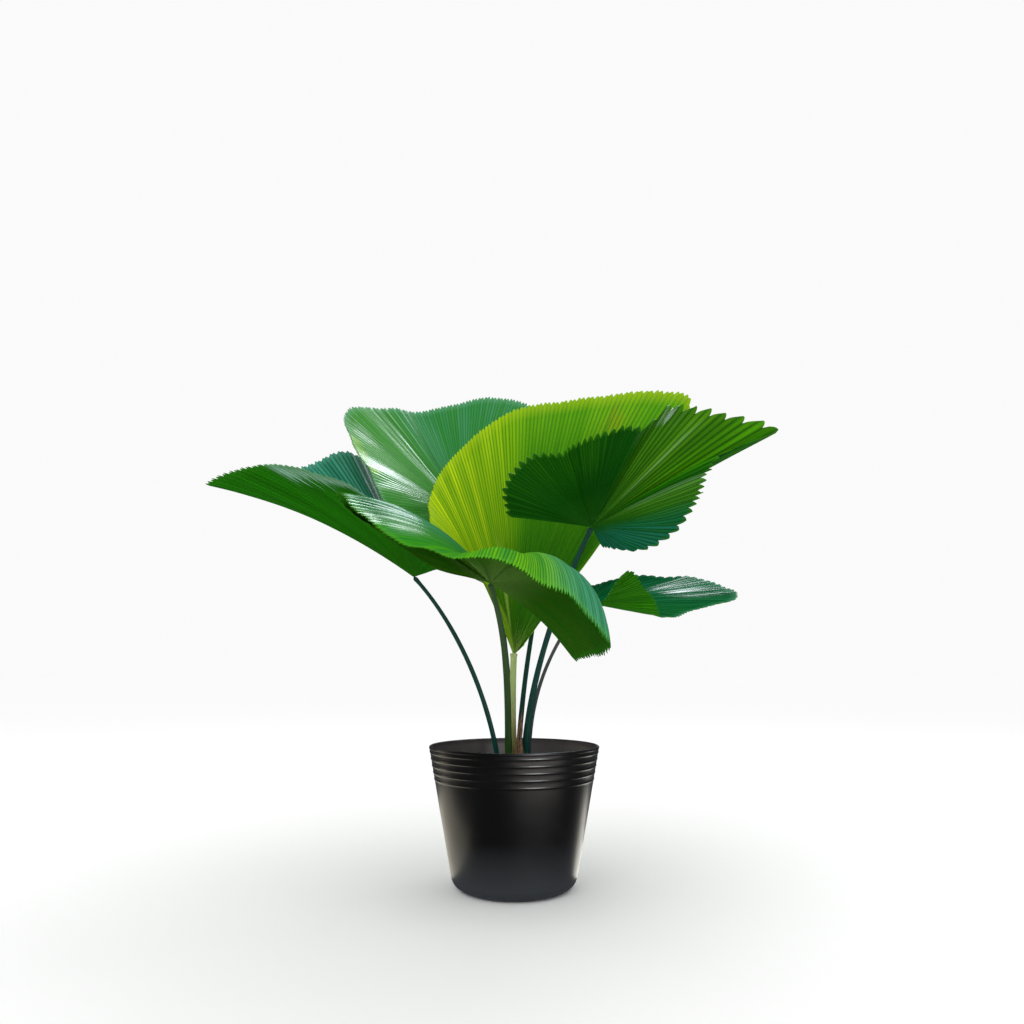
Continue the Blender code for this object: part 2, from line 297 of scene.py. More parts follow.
            colour = add_node(tree, "Mix", {0: amount, 6: colour, 7: over}, data_type="RGBA").outputs[2]
        rough = {"Value": streaks, "To Min": self.roughness - 0.06, "To Max": self.roughness + 0.1}
        relief = {"Height": veins, "Strength": 0.4, "Distance": 0.3 * MM}
        finish = {
            "Base Color": colour,
            "Roughness": add_node(tree, "MapRange", rough).outputs["Result"],
            "Normal": add_node(tree, "Bump", relief).outputs["Normal"],
            "IOR": 1.45,
            "Specular IOR Level": self.shine,
            "Coat Roughness": self.wax_roughness,
        }
        set_inputs(tree, shader, finish)
        if wax is not None:
            set_inputs(tree, shader, {"Coat Weight": wax})
        return material


@dataclass(frozen=True)
class PalmStalk:
    """Smooth waxy petiole: long fibres under the skin give fine lengthwise streaks."""

    name: str
    foot: str
    tip: str
    streak: str
    roughness: float = 0.38

    def make(self) -> bpy.types.Material:
        """Build the stalk's material.

        Returns:
            The material.
        """
        material, tree, shader = new_material(self.name)
        places = add_node(tree, "UVMap", uv_map="stalk").outputs["UV"]
        height = add_node(tree, "SeparateXYZ", {0: places}).outputs["Y"]
        rise = ((0.0, self.foot), (0.75, self.tip))
        base = add_node(tree, "ValToRGB", {"Fac": height}, stops=rise).outputs["Color"]
        stretched = add_node(tree, "Mapping", {"Vector": places, "Scale": (14.0, 5.0, 1.0)})
        grain = {"Vector": stretched.outputs["Vector"], "Scale": 1.0, "Detail": 4.0, "Roughness": 0.6}
        fibres = add_node(tree, "TexNoise", grain).outputs["Fac"]
        tone = {"Value": fibres, "From Min": 0.45, "From Max": 0.75, "To Max": 0.6}
        share = add_node(tree, "MapRange", tone).outputs["Result"]
        streaked = {0: share, 6: base, 7: srgb(self.streak)}
        relief = {"Height": fibres, "Strength": 0.5, "Distance": 0.3 * MM}
        finish = {
            "Base Color": add_node(tree, "Mix", streaked, data_type="RGBA").outputs[2],
            "Normal": add_node(tree, "Bump", relief).outputs["Normal"],
            "Roughness": self.roughness,
            "Specular IOR Level": 0.22,
            "Coat Weight": 0.04,
            "Coat Roughness": 0.25,
        }
        set_inputs(tree, shader, finish)
        return material


@dataclass(frozen=True)
class BlackPolyethylene:
    """Blow moulded black polyethylene: a satin skin with faint flow lines round the wall."""

    name: str = "black_polyethylene"
    colour: str = "#0A0708"
    dust: str = "#1E1B19"
    # The foot of the wall is painted greyer and bluer: a painted reflection of the floor
    painted_floor_reflection: str = "#3E4146"
    painted_reflection_top: float = 85 * MM
    roughness: float = 0.3
    shine: float = 0.34

    def make(self) -> bpy.types.Material:
        """Build the pot's material.

        Returns:
            The material.
        """
        material, tree, shader = new_material(self.name)
        places = add_node(tree, "TexCoord").outputs["Object"]
        flow = add_node(tree, "Mapping", {"Vector": places, "Scale": (6.0, 6.0, 180.0)}).outputs["Vector"]
        lines = add_node(tree, "TexNoise", {"Vector": flow, "Scale": 1.0, "Detail": 3.0}).outputs["Fac"]
        grain = {"Vector": places, "Scale": 22.0, "Detail": 6.0, "Roughness": 0.7}
        dusting = add_node(tree, "TexNoise", grain).outputs["Fac"]
        height = add_node(tree, "SeparateXYZ", {0: places}).outputs["Z"]
        colour = srgb(self.colour)
        # Random dust, then the painted reflection of the floor towards the foot
        for amount, over in (
            ({"Value": dusting, "From Min": 0.5, "From Max": 0.85, "To Max": 0.35}, self.dust),
            ({"Value": height, "From Min": self.painted_reflection_top, "From Max": 0.0, "To Max": 0.9}, self.painted_floor_reflection),
        ):
            share = add_node(tree, "MapRange", amount).outputs["Result"]
            mix = {0: share, 6: colour, 7: srgb(over)}
            colour = add_node(tree, "Mix", mix, data_type="RGBA").outputs[2]
        rough = {"Value": dusting, "To Min": self.roughness - 0.06, "To Max": self.roughness + 0.1}
        relief = {"Height": lines, "Strength": 0.2, "Distance": 0.2 * MM}
        finish = {
            "Base Color": colour,
            "Roughness": add_node(tree, "MapRange", rough).outputs["Result"],
            "Normal": add_node(tree, "Bump", relief).outputs["Normal"],
            "Specular IOR Level": self.shine,
        }
        set_inputs(tree, shader, finish)
        return material


@dataclass(frozen=True)
class LooseOrganic:
    """Dry or damp plant matter: rough, matt and mottled, such as peat, bark and old fibre."""

    name: str
    dark: str
    light: str
    grain: float = 3.0 * MM
    roughness: float = 0.92

    def make(self) -> bpy.types.Material:
        """Build the material.

        Returns:
            The material.
        """
        material, tree, shader = new_material(self.name)
        places = add_node(tree, "TexCoord").outputs["Object"]
        grain = {"Vector": places, "Scale": 1.0 / self.grain, "Detail": 5.0, "Roughness": 0.7}
        mottle = add_node(tree, "TexNoise", grain).outputs["Fac"]
        tones = ((0.35, self.dark), (0.68, self.light))
        relief = {"Height": mottle, "Strength": 0.6, "Distance": 0.6 * MM}
        finish = {
            "Base Color": add_node(tree, "ValToRGB", {"Fac": mottle}, stops=tones).outputs["Color"],
            "Normal": add_node(tree, "Bump", relief).outputs["Normal"],
            "Roughness": self.roughness,
        }
        set_inputs(tree, shader, finish)
        return material


def smooth_run(values: Points, share: Points) -> Points:
    """Catmull-Rom curve through evenly spaced rows of values.

    Args:
        values: Rows to pass through.
        share: Places from 0 to 1.

    Returns:
        One row for each share.
    """
    rows = np.asarray(values, dtype=float)
    last = len(rows) - 1
    place = np.clip(np.asarray(share, dtype=float), 0.0, 1.0) * last
    index = np.minimum(place.astype(int), last - 1)
    u = (place - index)[:, None]
    padded = np.concatenate([[2 * rows[0] - rows[1]], rows, [2 * rows[-1] - rows[-2]]])
    before, start, end, after = (padded[index + k] for k in range(4))
    square = 2 * before - 5 * start + 4 * end - after
    cube = 3 * start - before - 3 * end + after
    return 0.5 * (2 * start + (end - before) * u + square * u**2 + cube * u**3)


def unit_rows(vectors: Points) -> Points:
    """Scale each row to length one."""
    return vectors / np.linalg.norm(vectors, axis=-1, keepdims=True)


def mesh_piece(
    name: str,
    points: Points,
    faces: list[list[int]],
    materials: list[bpy.types.Material],
    uv: tuple[str, Points] | None = None,
    face_materials: Points | None = None,
    sharp_deg: float = 60.0,
) -> bpy.types.Object:
    """Make a smooth mesh object that rides on the part's body.

    Args:
        name: The piece's name.
        points: Vertex positions.
        faces: Vertex numbers of each face.
        materials: The finishes.
        uv: A UV map's name with one pair for each vertex.
        face_materials: Number of each face's finish, when there are several.
        sharp_deg: Edges that turn by more than this stay sharp.

    Returns:
        The new object.
    """
    mesh = bpy.data.meshes.new(name)
    mesh.from_pydata(np.asarray(points).tolist(), [], faces)
    for material in materials:
        mesh.materials.append(material)
    if face_materials is not None:
        mesh.polygons.foreach_set("material_index", np.asarray(face_materials, np.int32))
    if uv is not None:
        corners = np.empty(len(mesh.loops), np.int32)
        mesh.loops.foreach_get("vertex_index", corners)
        layer = mesh.uv_layers.new(name=uv[0])
        layer.uv.foreach_set("vector", uv[1][corners].astype(np.float32).ravel())
    mesh.shade_smooth()
    mesh.set_sharp_from_angle(angle=math.radians(sharp_deg))
    piece = bpy.data.objects.new(name, mesh)
    bpy.context.scene.collection.objects.link(piece)
    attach(piece, "root")
    return piece


def grid_faces(columns: int, rows: int, start: int = 0, closed: bool = False) -> Points:
    """Quads of a grid whose vertices run row by row within each column.

    Args:
        columns: Number of columns of vertices.
        rows: Number of vertices in a column.
        start: Number of the first vertex.
        closed: Whether the last column joins the first.

    Returns:
        An array of quads.
    """
    near = np.arange(columns if closed else columns - 1)
    far = (near + 1) % columns
    step = np.arange(rows - 1)
    a = near[:, None] * rows + step[None, :]
    b = far[:, None] * rows + step[None, :]
    return np.stack([a, b, b + 1, a + 1], axis=-1).reshape(-1, 4) + start


@dataclass(frozen=True)
class LeafPlan:
    """One leaf as the CAD has it, with its finishes, creases and the cut of its margin.

    Each crease is its place across the fan, its half width, both as shares of the
    fan, and its height in metres towards the upper side.
    """

    name: str
    hub: Vector3
    foot: tuple[float, float]
    lean: Vector3
    arrive: Vector3
    seat: float
    foot_radius: float
    tip_radius: float
    ribs: tuple[tuple[float, float, float, float], ...]
    upper: PalmLamina
    under: PalmLamina
    stalk: PalmStalk
    blade_slot: str
    stalk_slot: str
    creases: tuple[tuple[float, float, float], ...] = ()
    cut: ToothCut = ToothCut.PAIRED
    tooth: float = 11 * MM
    pleats: int = 56
    fold: float = 0.15
    seed: int = 1


@dataclass
class FanBlade:
    """A round leaf blade, folded into pleats and cut into short teeth at its margin."""

    plan: LeafPlan
    steps_per_pleat: int = 8
    rows: int = 34
    thickness: float = 1.1 * MM
    fold_ramp: float = 60 * MM
    hub_share: float = 0.3
    rib_samples: int = 400
    ruffle: float = 3.0 * MM
    ruffle_rise: float = 1.8
    # Waves across the whole fan, each with how far its crest turns along the ribs
    ripples: tuple[tuple[float, float], ...] = ((2.3, 1.0), (4.1, 3.0), (7.7, 5.0), (12.3, 9.0))
    tooth_lengths: tuple[float, float] = (0.7, 1.0)
    fold_depths: tuple[float, float] = (0.5, 1.4)
    crease_span: float = 0.7

    def fan(self, count: int) -> tuple[Points, Points, Points, float]:
        """Lay out ribs at even angles round the hub.

        Args:
            count: Number of steps between the first and the last rib.

        Returns:
            Chords, arches, upper normals and the whole angle swept.
        """
        ribs = self.plan.ribs
        samples = np.linspace(0.0, 1.0, self.rib_samples)
        directions = unit_rows(smooth_run(ribs, samples)[:, :3])
        turns = np.arccos(np.clip((directions[1:] * directions[:-1]).sum(axis=1), -1.0, 1.0))
        swept = np.concatenate([[0.0], np.cumsum(turns)])
        share = np.interp(np.linspace(0.0, swept[-1], count + 1), swept, samples)
        rows = smooth_run(ribs, share)
        step = 1.0 / self.rib_samples
        ahead = unit_rows(smooth_run(ribs, share + step)[:, :3])
        behind = unit_rows(smooth_run(ribs, share - step)[:, :3])
        normals = unit_rows(np.cross(ahead - behind, unit_rows(rows[:, :3])))
        return rows[:, :3], rows[:, 3], normals, swept[-1]

    def margin(self, reach: Points, rng: np.random.Generator) -> tuple[Points, Points]:
        """Where the teeth start and where they end, as shares of the reach.

        Args:
            reach: Length of each rib.
            rng: Source of the small differences between teeth.

        Returns:
            The notch line and the outline, one value a column.
        """
        phase = np.arange(len(reach)) % self.steps_per_pleat
        shape = np.array(self.plan.cut.value)[phase]
        half = self.steps_per_pleat // 2
        count = len(reach) // half + 1
        lengths = np.repeat(rng.uniform(*self.tooth_lengths, count), half)[: len(reach)]
        # Segments are wider where the ribs are longer, and their teeth are longer too
        tooth = self.plan.tooth * (0.25 / reach + 0.75 / reach.max())
        notch = 1.0 - tooth
        return notch, notch + tooth * (0.08 + 0.92 * shape * lengths)

    def surface(self) -> tuple[Points, Points, Points]:
        """Lay out the blade's middle surface.

        Returns:
            Points by column and row, their upper normals and their shares along the ribs.
        """
        plan = self.plan
        rng = np.random.default_rng(plan.seed)
        columns = plan.pleats * self.steps_per_pleat
        chords, arches, normals, spread = self.fan(columns)
        reach = np.linalg.norm(chords, axis=1)
        inner = plan.tip_radius * self.hub_share / reach
        notch, outer = self.margin(reach, rng)
        body = np.linspace(0.0, 1.0, self.rows - 1)
        along = inner[:, None] + (notch - inner)[:, None] * body[None, :]
        along = np.concatenate([along, ((notch + outer) / 2)[:, None], outer[:, None]], axis=1)
        phase = np.arange(columns + 1) / self.steps_per_pleat
        wave = 1.0 - 2.0 * np.abs(2.0 * (phase % 1.0) - 1.0)
        pitch = spread * reach / plan.pleats
        ramp = np.clip((along - inner[:, None]) * reach[:, None] / self.fold_ramp, 0.0, 1.0)
        corners = np.arange(plan.pleats + 1)
        swing = np.interp(phase, corners, rng.uniform(*self.fold_depths, len(corners)))
        depth = (wave * swing * plan.fold * pitch / 2)[:, None] * along * ramp
        turn = np.linspace(0.0, 2.0 * math.pi, columns + 1)
        ripple = sum(
            np.sin(turn[:, None] * cycles + along * beat + rng.uniform(0, 2 * math.pi))
            / (1 + cycles / 6)
            for cycles, beat in self.ripples
        )
        ruffle = self.ruffle * ripple * along**self.ruffle_rise
        across_share = np.linspace(0.0, 1.0, columns + 1)
        for place, width, height in plan.creases:
            bell = np.exp(-(((across_share - place) / width) ** 2))
            bow = np.sin(np.minimum(along, 1.0) * math.pi * self.crease_span)
            ruffle = ruffle + height * bell[:, None] * bow
        lift = 4 * arches[:, None] * along * (1 - along) * reach[:, None] + depth + ruffle
        points = chords[:, None, :] * along[..., None] + normals[:, None, :] * lift[..., None]
        points = points + np.array(plan.hub)
        across = np.gradient(points, axis=0)
        outward = np.gradient(points, axis=1)
        up = np.cross(across, outward)
        up = up * np.sign((up * normals[:, None, :]).sum(axis=-1, keepdims=True) + 1e-20)
        return points, up / (np.linalg.norm(up, axis=-1, keepdims=True) + 1e-12), along

    def build(self) -> bpy.types.Object:
        """Build the blade as one closed mesh in place of its CAD node.

        Returns:
            The blade's piece.
        """
        plan = self.plan
        points, up, along = self.surface()
        columns, rows = points.shape[:2]
        half = self.thickness / 2
        upper = (points + up * half).reshape(-1, 3)
        under = (points - up * half).reshape(-1, 3)
        count = len(upper)
        top = grid_faces(columns, rows)
        outline = np.concatenate(
            [
                np.arange(rows),
                np.arange(1, columns) * rows + rows - 1,
                (columns - 1) * rows + np.arange(rows - 2, -1, -1),
                np.arange(columns - 2, 0, -1) * rows,
            ]
        )
        after = np.roll(outline, -1)
        rim = np.stack([outline, after, after + count, outline + count], axis=-1)
        faces = np.concatenate([top[:, ::-1], top + count, rim])
        centre = points.reshape(-1, 3)
        first = upper[top[0, 1]] - upper[top[0, 0]]
        second = upper[top[0, 3]] - upper[top[0, 0]]
        if np.dot(np.cross(second, first), (upper - centre)[top[0, 0]]) < 0:
            faces = faces[:, ::-1]
        u = np.repeat(np.arange(columns) / self.steps_per_pleat, rows)
        uv = np.stack([np.tile(u, 2), np.tile(along.ravel(), 2)], axis=-1)
        piece = mesh_piece(
            "fan_" + plan.name,
            np.concatenate([upper, under]),
            faces.tolist(),
            [plan.upper.make(plan.pleats), plan.under.make(plan.pleats)],
            uv=("fan", uv),
            face_materials=np.repeat([0, 1, 1], [len(top), len(top), len(rim)]),
        )
        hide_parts("blade_" + plan.name)
        return piece


@dataclass
class Petiole:
    """A leaf stalk: channelled on its upper face, widened at its foot and under the blade."""

    plan: LeafPlan
    seat_gap: float = 0.3 * MM
    boot: float = 4 * MM
    steps: int = 110
    sides: int = 24
    neck_share: float = 0.8
    channel: float = 0.16
    channel_width: float = 0.55
    knot: float = 0.035
    knots: int = 14
    # Shares of the stalk's length: the knuckle under the blade, then its rounded tip
    knuckle_from: float = 0.94
    knuckle_length: float = 0.045
    tip_from: float = 0.985
    tip_length: float = 0.0152
    # A direction that no stalk runs along
    aside: Vector3 = (0.31, 0.9, 0.07)

    def path(self) -> Points:
        """Centre line from the soil to the hub.

        Returns:
            Points from the foot upwards.
        """
        plan = self.plan
        foot = np.array([*plan.foot, SOIL_TOP + self.seat_gap])
        start = foot + np.array([0.0, 0.0, self.boot])
        arrive = np.array(plan.arrive)
        hub = np.array(plan.hub) + arrive / np.linalg.norm(arrive) * plan.seat
        first = start + np.array(plan.lean)
        second = hub - arrive
        t = np.linspace(0.0, 1.0, self.steps - 1)[:, None]
        bend = (1 - t) ** 3 * start + 3 * (1 - t) ** 2 * t * first
        bend = bend + 3 * (1 - t) * t**2 * second + t**3 * hub
        return np.concatenate([foot[None, :], bend])

    def radii(self, path: Points) -> Points:
        """Radius at each point of the centre line.

        Args:
            path: The centre line.

        Returns:
            One radius a point.
        """
        plan = self.plan
        length = np.concatenate([[0.0], np.cumsum(np.linalg.norm(np.diff(path, axis=0), axis=1))])
        share = length / length[-1]
        neck = min(plan.foot_radius, plan.tip_radius) * self.neck_share
        radius = plan.foot_radius + (neck - plan.foot_radius) * share
        knuckle = np.clip((share - self.knuckle_from) / self.knuckle_length, 0.0, 1.0) ** 1.6
        past = np.clip(share - self.tip_from, 0.0, 1.0) / self.tip_length
        rounded = np.sqrt(np.clip(1.0 - past**2, 0.01, 1.0))
        rng = np.random.default_rng(plan.seed + 50)
        places = np.linspace(0, 1, self.knots)
        wobble = 1.0 + self.knot * np.interp(share, places, rng.uniform(-1, 1, self.knots))
        return (radius + (plan.tip_radius - neck) * knuckle) * wobble * rounded

    def build(self) -> bpy.types.Object:
        """Build the stalk in place of its CAD node.

        Returns:
            The stalk's piece.
        """
        plan = self.plan
        path = self.path()
        radii = self.radii(path)
        tangent = unit_rows(np.gradient(path, axis=0))
        across = unit_rows(np.cross(tangent, np.array(self.aside)))
        other = np.cross(tangent, across)
        angle = np.linspace(0.0, 2.0 * math.pi, self.sides, endpoint=False)
        dip = 1.0 - self.channel * np.exp(-(((angle - math.pi / 2) / self.channel_width) ** 2))
        ring = across[None, :, :] * (np.cos(angle) * dip)[:, None, None]
        ring = ring + other[None, :, :] * (np.sin(angle) * dip)[:, None, None]
        points = path[None, :, :] + ring * radii[None, :, None]
        rows = len(path)
        faces = grid_faces(self.sides, rows, closed=True).tolist()
        faces.append([side * rows for side in range(self.sides)])
        faces.append([side * rows + rows - 1 for side in range(self.sides)][::-1])
        u = np.repeat(angle / (2.0 * math.pi), rows)
        v = np.tile(np.linspace(0.0, 1.0, rows), self.sides)
        piece = mesh_piece(
            "stalk_" + plan.name,
            points.reshape(-1, 3),
            [face[::-1] for face in faces],
            [plan.stalk.make()],
            uv=("stalk", np.stack([u, v], axis=-1)),
        )
        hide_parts("petiole_" + plan.name)
        return piece


@dataclass
class NurseryPot:
    """Round tapered nursery pot with five moulded rings under a rolled lip."""

    height: float = 216.5 * MM
    rim_radius: float = 140 * MM
    foot_radius: float = 97.5 * MM
    wall: float = 3 * MM
    fillet: float = 22 * MM
    ring_count: int = 5
    ring_first: float = 9.4 * MM
    ring_pitch: float = 10.4 * MM
    ring_half: float = 3.4 * MM
    ring_relief: float = 0.8 * MM
    # Share of the CAD ring's half height that the drawn bead takes
    ring_narrowing: float = 0.62
    lip: float = 4.5 * MM
    lip_bead: float = 2.4 * MM
    lip_step: float = 0.2 * MM
    # The profile's flat discs, the heights between which its wall is straight, and its points
    floor_disc: float = 40 * MM
    foot_disc: float = 50 * MM
    inner_from: float = 40 * MM
    outer_to: float = 30 * MM
    inner_rows: int = 24
    outer_rows: int = 40
    lip_rows: int = 14
    ring_rows: int = 13
    fillet_rows: int = 15
    steps: int = 192
    finish: BlackPolyethylene = BlackPolyethylene()
    # The inner wall is a paler grey than the outer wall
    inner_finish: BlackPolyethylene = BlackPolyethylene(
        "pale_inner_polyethylene", "#514B4C", "#645E5C", "#464242", roughness=0.5
    )

    def radius(self, height: float, inset: float = 0.0) -> float:
        """Radius of the tapered wall, or of one set in from it."""
        taper = (self.rim_radius - self.foot_radius) / self.height
        return self.foot_radius + taper * height - inset / math.cos(math.atan(taper))

    def fillet_points(self, radius: float, floor: float, inset: float) -> list[tuple[float, float]]:
        """The rounded corner between the floor and the wall, wall end first.

        Args:
            radius: The corner's own radius.
            floor: Height of the floor it rises from.
            inset: How far in from the outer wall it lies.

        Returns:
            Radius and height of each point.
        """
        slope = math.atan((self.rim_radius - self.foot_radius) / self.height)
        level = floor + radius
        centre = self.radius(level, inset + radius)
        angles = np.linspace(-slope, -math.pi / 2, self.fillet_rows)
        return [(centre + radius * math.cos(a), level + radius * math.sin(a)) for a in angles]

    def profile(self) -> list[tuple[float, float]]:
        """Half section from the middle of the floor, up inside and down outside.

        Returns:
            Radius and height of each point.
        """
        inner = self.fillet_points(self.fillet - self.wall, self.wall, self.wall)[::-1]
        points = [(0.0, self.wall), (self.floor_disc, self.wall), *inner]
        for height in np.linspace(self.inner_from, self.height - self.wall, self.inner_rows):
            points.append((self.radius(height, self.wall), height))
        lip_centre = self.rim_radius - self.lip_bead
        lip_height = self.height - self.lip_bead
        for angle in np.linspace(math.pi * 0.85, -math.pi * 0.32, self.lip_rows):
            across = lip_centre + self.lip_bead * math.cos(angle)
            points.append((across, lip_height + self.lip_bead * math.sin(angle)))
        under_lip = self.height - self.lip
        points.append((self.radius(under_lip) + self.lip_step, under_lip))
        for ring in range(self.ring_count):
            middle = self.height - self.ring_first - ring * self.ring_pitch
            for turn in np.linspace(-1.0, 1.0, self.ring_rows):
                height = middle - turn * self.ring_half * self.ring_narrowing
                bead = self.ring_relief * 0.5 * (1 + math.cos(math.pi * turn))
                points.append((self.radius(height) + bead, height))
        lowest = points[-1][1]
        for height in np.linspace(lowest - 2 * MM, self.outer_to, self.outer_rows):
            points.append((self.radius(height), height))
        points += self.fillet_points(self.fillet, 0.0, 0.0)
        points += [(self.foot_disc, 0.0), (0.0, 0.0)]
        return points

    def build(self) -> bpy.types.Object:
        """Turn the profile into the pot, in place of its CAD node.

        Returns:
            The pot's piece.
        """
        profile = self.profile()
        angle = np.linspace(0.0, 2.0 * math.pi, self.steps, endpoint=False)
        inner = np.array(profile[1:-1])
        rows = len(inner)
        points = np.stack(
            [
                np.cos(angle)[:, None] * inner[None, :, 0],
                np.sin(angle)[:, None] * inner[None, :, 0],
                np.broadcast_to(inner[None, :, 1], (self.steps, rows)),
            ],
            axis=-1,
        ).reshape(-1, 3)
        ends = np.array([[0.0, 0.0, self.wall], [0.0, 0.0, 0.0]])
        faces = grid_faces(self.steps, rows, closed=True).tolist()
        top, foot = len(points), len(points) + 1
        for step in range(self.steps):
            after = (step + 1) % self.steps
            faces.append([step * rows, top, after * rows])
            faces.append([after * rows + rows - 1, foot, step * rows + rows - 1])
        inside = np.arange(rows - 1) < int(np.argmax(inner[:, 1])) - 4
        kinds = np.concatenate([np.tile(inside, self.steps), np.tile([True, False], self.steps)])
        piece = mesh_piece(
            "nursery_pot",
            np.concatenate([points, ends]),
            [face[::-1] for face in faces],
            [self.finish.make(), self.inner_finish.make()],
            face_materials=kinds.astype(int),
            sharp_deg=80.0,
        )
        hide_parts("pot")
        return piece


@dataclass
class PottingSoil:
    """Potting mix: a crumbly domed top with loose crumbs, bark and a few pale chips."""

    pot: NurseryPot
    top: float = SOIL_TOP
    edge_drop: float = 6 * MM
    clearance: float = 0.3 * MM
    rings: int = 60
    steps: int = 200
    bump_waves: tuple[float, ...] = (90.0, 160.0, 290.0, 520.0)
    waves_each: int = 5
    bump_height: float = 0.055
    settled: float = 0.8 * MM
    skirt_depth: float = 15 * MM
    skirt_inset: float = 2.6 * MM
    crumbs: int = 2600
    chips: int = 90
    crumb_margin: float = 1.5 * MM
    crumb_sink: float = 0.2 * MM
    seed: int = 11

    def level(self, radius: Points) -> Points:
        """Height of the domed top at a radius."""
        edge = self.pot.radius(self.top - self.edge_drop, self.pot.wall + self.clearance)
        return self.top - self.edge_drop * (radius / edge) ** 2

    def build(self) -> bpy.types.Object:
        """Build the crumbly top in place of the CAD soil.

        Returns:
            The soil's piece.
        """
        rng = np.random.default_rng(self.seed)
        edge = self.pot.radius(self.top - self.edge_drop, self.pot.wall + self.clearance)
        share = np.linspace(0.0, 1.0, self.rings) ** 0.9
        share[0] = 0.004
        radius = share * edge
        angle = np.linspace(0.0, 2.0 * math.pi, self.steps, endpoint=False)
        x = np.cos(angle)[:, None] * radius
        y = np.sin(angle)[:, None] * radius
        bumps = np.zeros_like(x)
        for wave in self.bump_waves:
            for _ in range(self.waves_each):
                way = rng.uniform(0, 2 * math.pi)
                swing = rng.uniform(0, 2 * math.pi)
                bumps += np.sin((x * math.cos(way) + y * math.sin(way)) * wave + swing) / wave
        z = self.level(np.broadcast_to(radius, x.shape)) + bumps * self.bump_height - self.settled
        sheet = np.stack([x, y, z], axis=-1)
        skirt = sheet[:, -1:, :] - np.array([0.0, 0.0, self.skirt_depth])
        skirt[..., :2] *= (edge - self.skirt_inset) / edge
        points = np.concatenate([sheet, skirt], axis=1)
        rows = points.shape[1]
        faces = grid_faces(self.steps, rows, closed=True).tolist()
        faces.append([step * rows for step in range(self.steps)][::-1])
        faces.append([step * rows + rows - 1 for step in range(self.steps)])
        mix = LooseOrganic("damp_potting_mix", "#1A120C", "#4A3626")
        piece = mesh_piece("soil_top", points.reshape(-1, 3), faces, [mix.make()])
        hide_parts("soil")
        return piece

    def crumb_piece(
        self, name: str, count: int, size: tuple[float, float], finish: LooseOrganic, seed: int
    ) -> bpy.types.Object:
        """Scatter small eight-faced crumbs over the soil as one joined mesh.

        Args:
            name: The piece's name.
            count: Number of crumbs.
            size: Smallest and largest half length.
            finish: The crumbs' finish.
            seed: Seed of the scatter.

        Returns:
            The joined piece.
        """
        rng = np.random.default_rng(seed)
        solid = np.array(
            [[1, 0, 0], [0, 1, 0], [-1, 0, 0], [0, -1, 0], [0, 0, 1], [0, 0, -1]], float
        )
        sides = [(0, 1, 4), (1, 2, 4), (2, 3, 4), (3, 0, 4), (1, 0, 5), (2, 1, 5), (3, 2, 5), (0, 3, 5)]
        edge = self.pot.radius(self.top - self.edge_drop, self.pot.wall) - size[1] - self.crumb_margin
        distance = edge * np.sqrt(rng.uniform(0, 1, count))
        turn = rng.uniform(0, 2 * math.pi, count)
        half = size[0] + (size[1] - size[0]) * rng.uniform(0, 1, count) ** 2.5
        spins = unit_rows(rng.normal(size=(count, 4)))
        w, x, y, z = spins.T
        turns = np.stack(
            [
                np.stack([1 - 2 * (y * y + z * z), 2 * (x * y - z * w), 2 * (x * z + y * w)], -1),
                np.stack([2 * (x * y + z * w), 1 - 2 * (x * x + z * z), 2 * (y * z - x * w)], -1),
                np.stack([2 * (x * z - y * w), 2 * (y * z + x * w), 1 - 2 * (x * x + y * y)], -1),
            ],
            axis=1,
        )
        shapes = solid[None] * rng.uniform(0.45, 1.0, (count, 6, 1)) * rng.uniform(0.5, 1.0, (count, 1, 3))
        spun = np.einsum("nij,nkj->nki", turns, shapes) * half[:, None, None]
        height = self.level(distance) - self.crumb_sink
        places = np.stack([np.cos(turn) * distance, np.sin(turn) * distance, height], -1)
        points = (spun + places[:, None, :]).reshape(-1, 3)
        faces = (np.array(sides)[None] + np.arange(count)[:, None, None] * 6).reshape(-1, 3)
        piece = mesh_piece(name, points, faces.tolist(), [finish.make()], sharp_deg=25.0)
        return piece


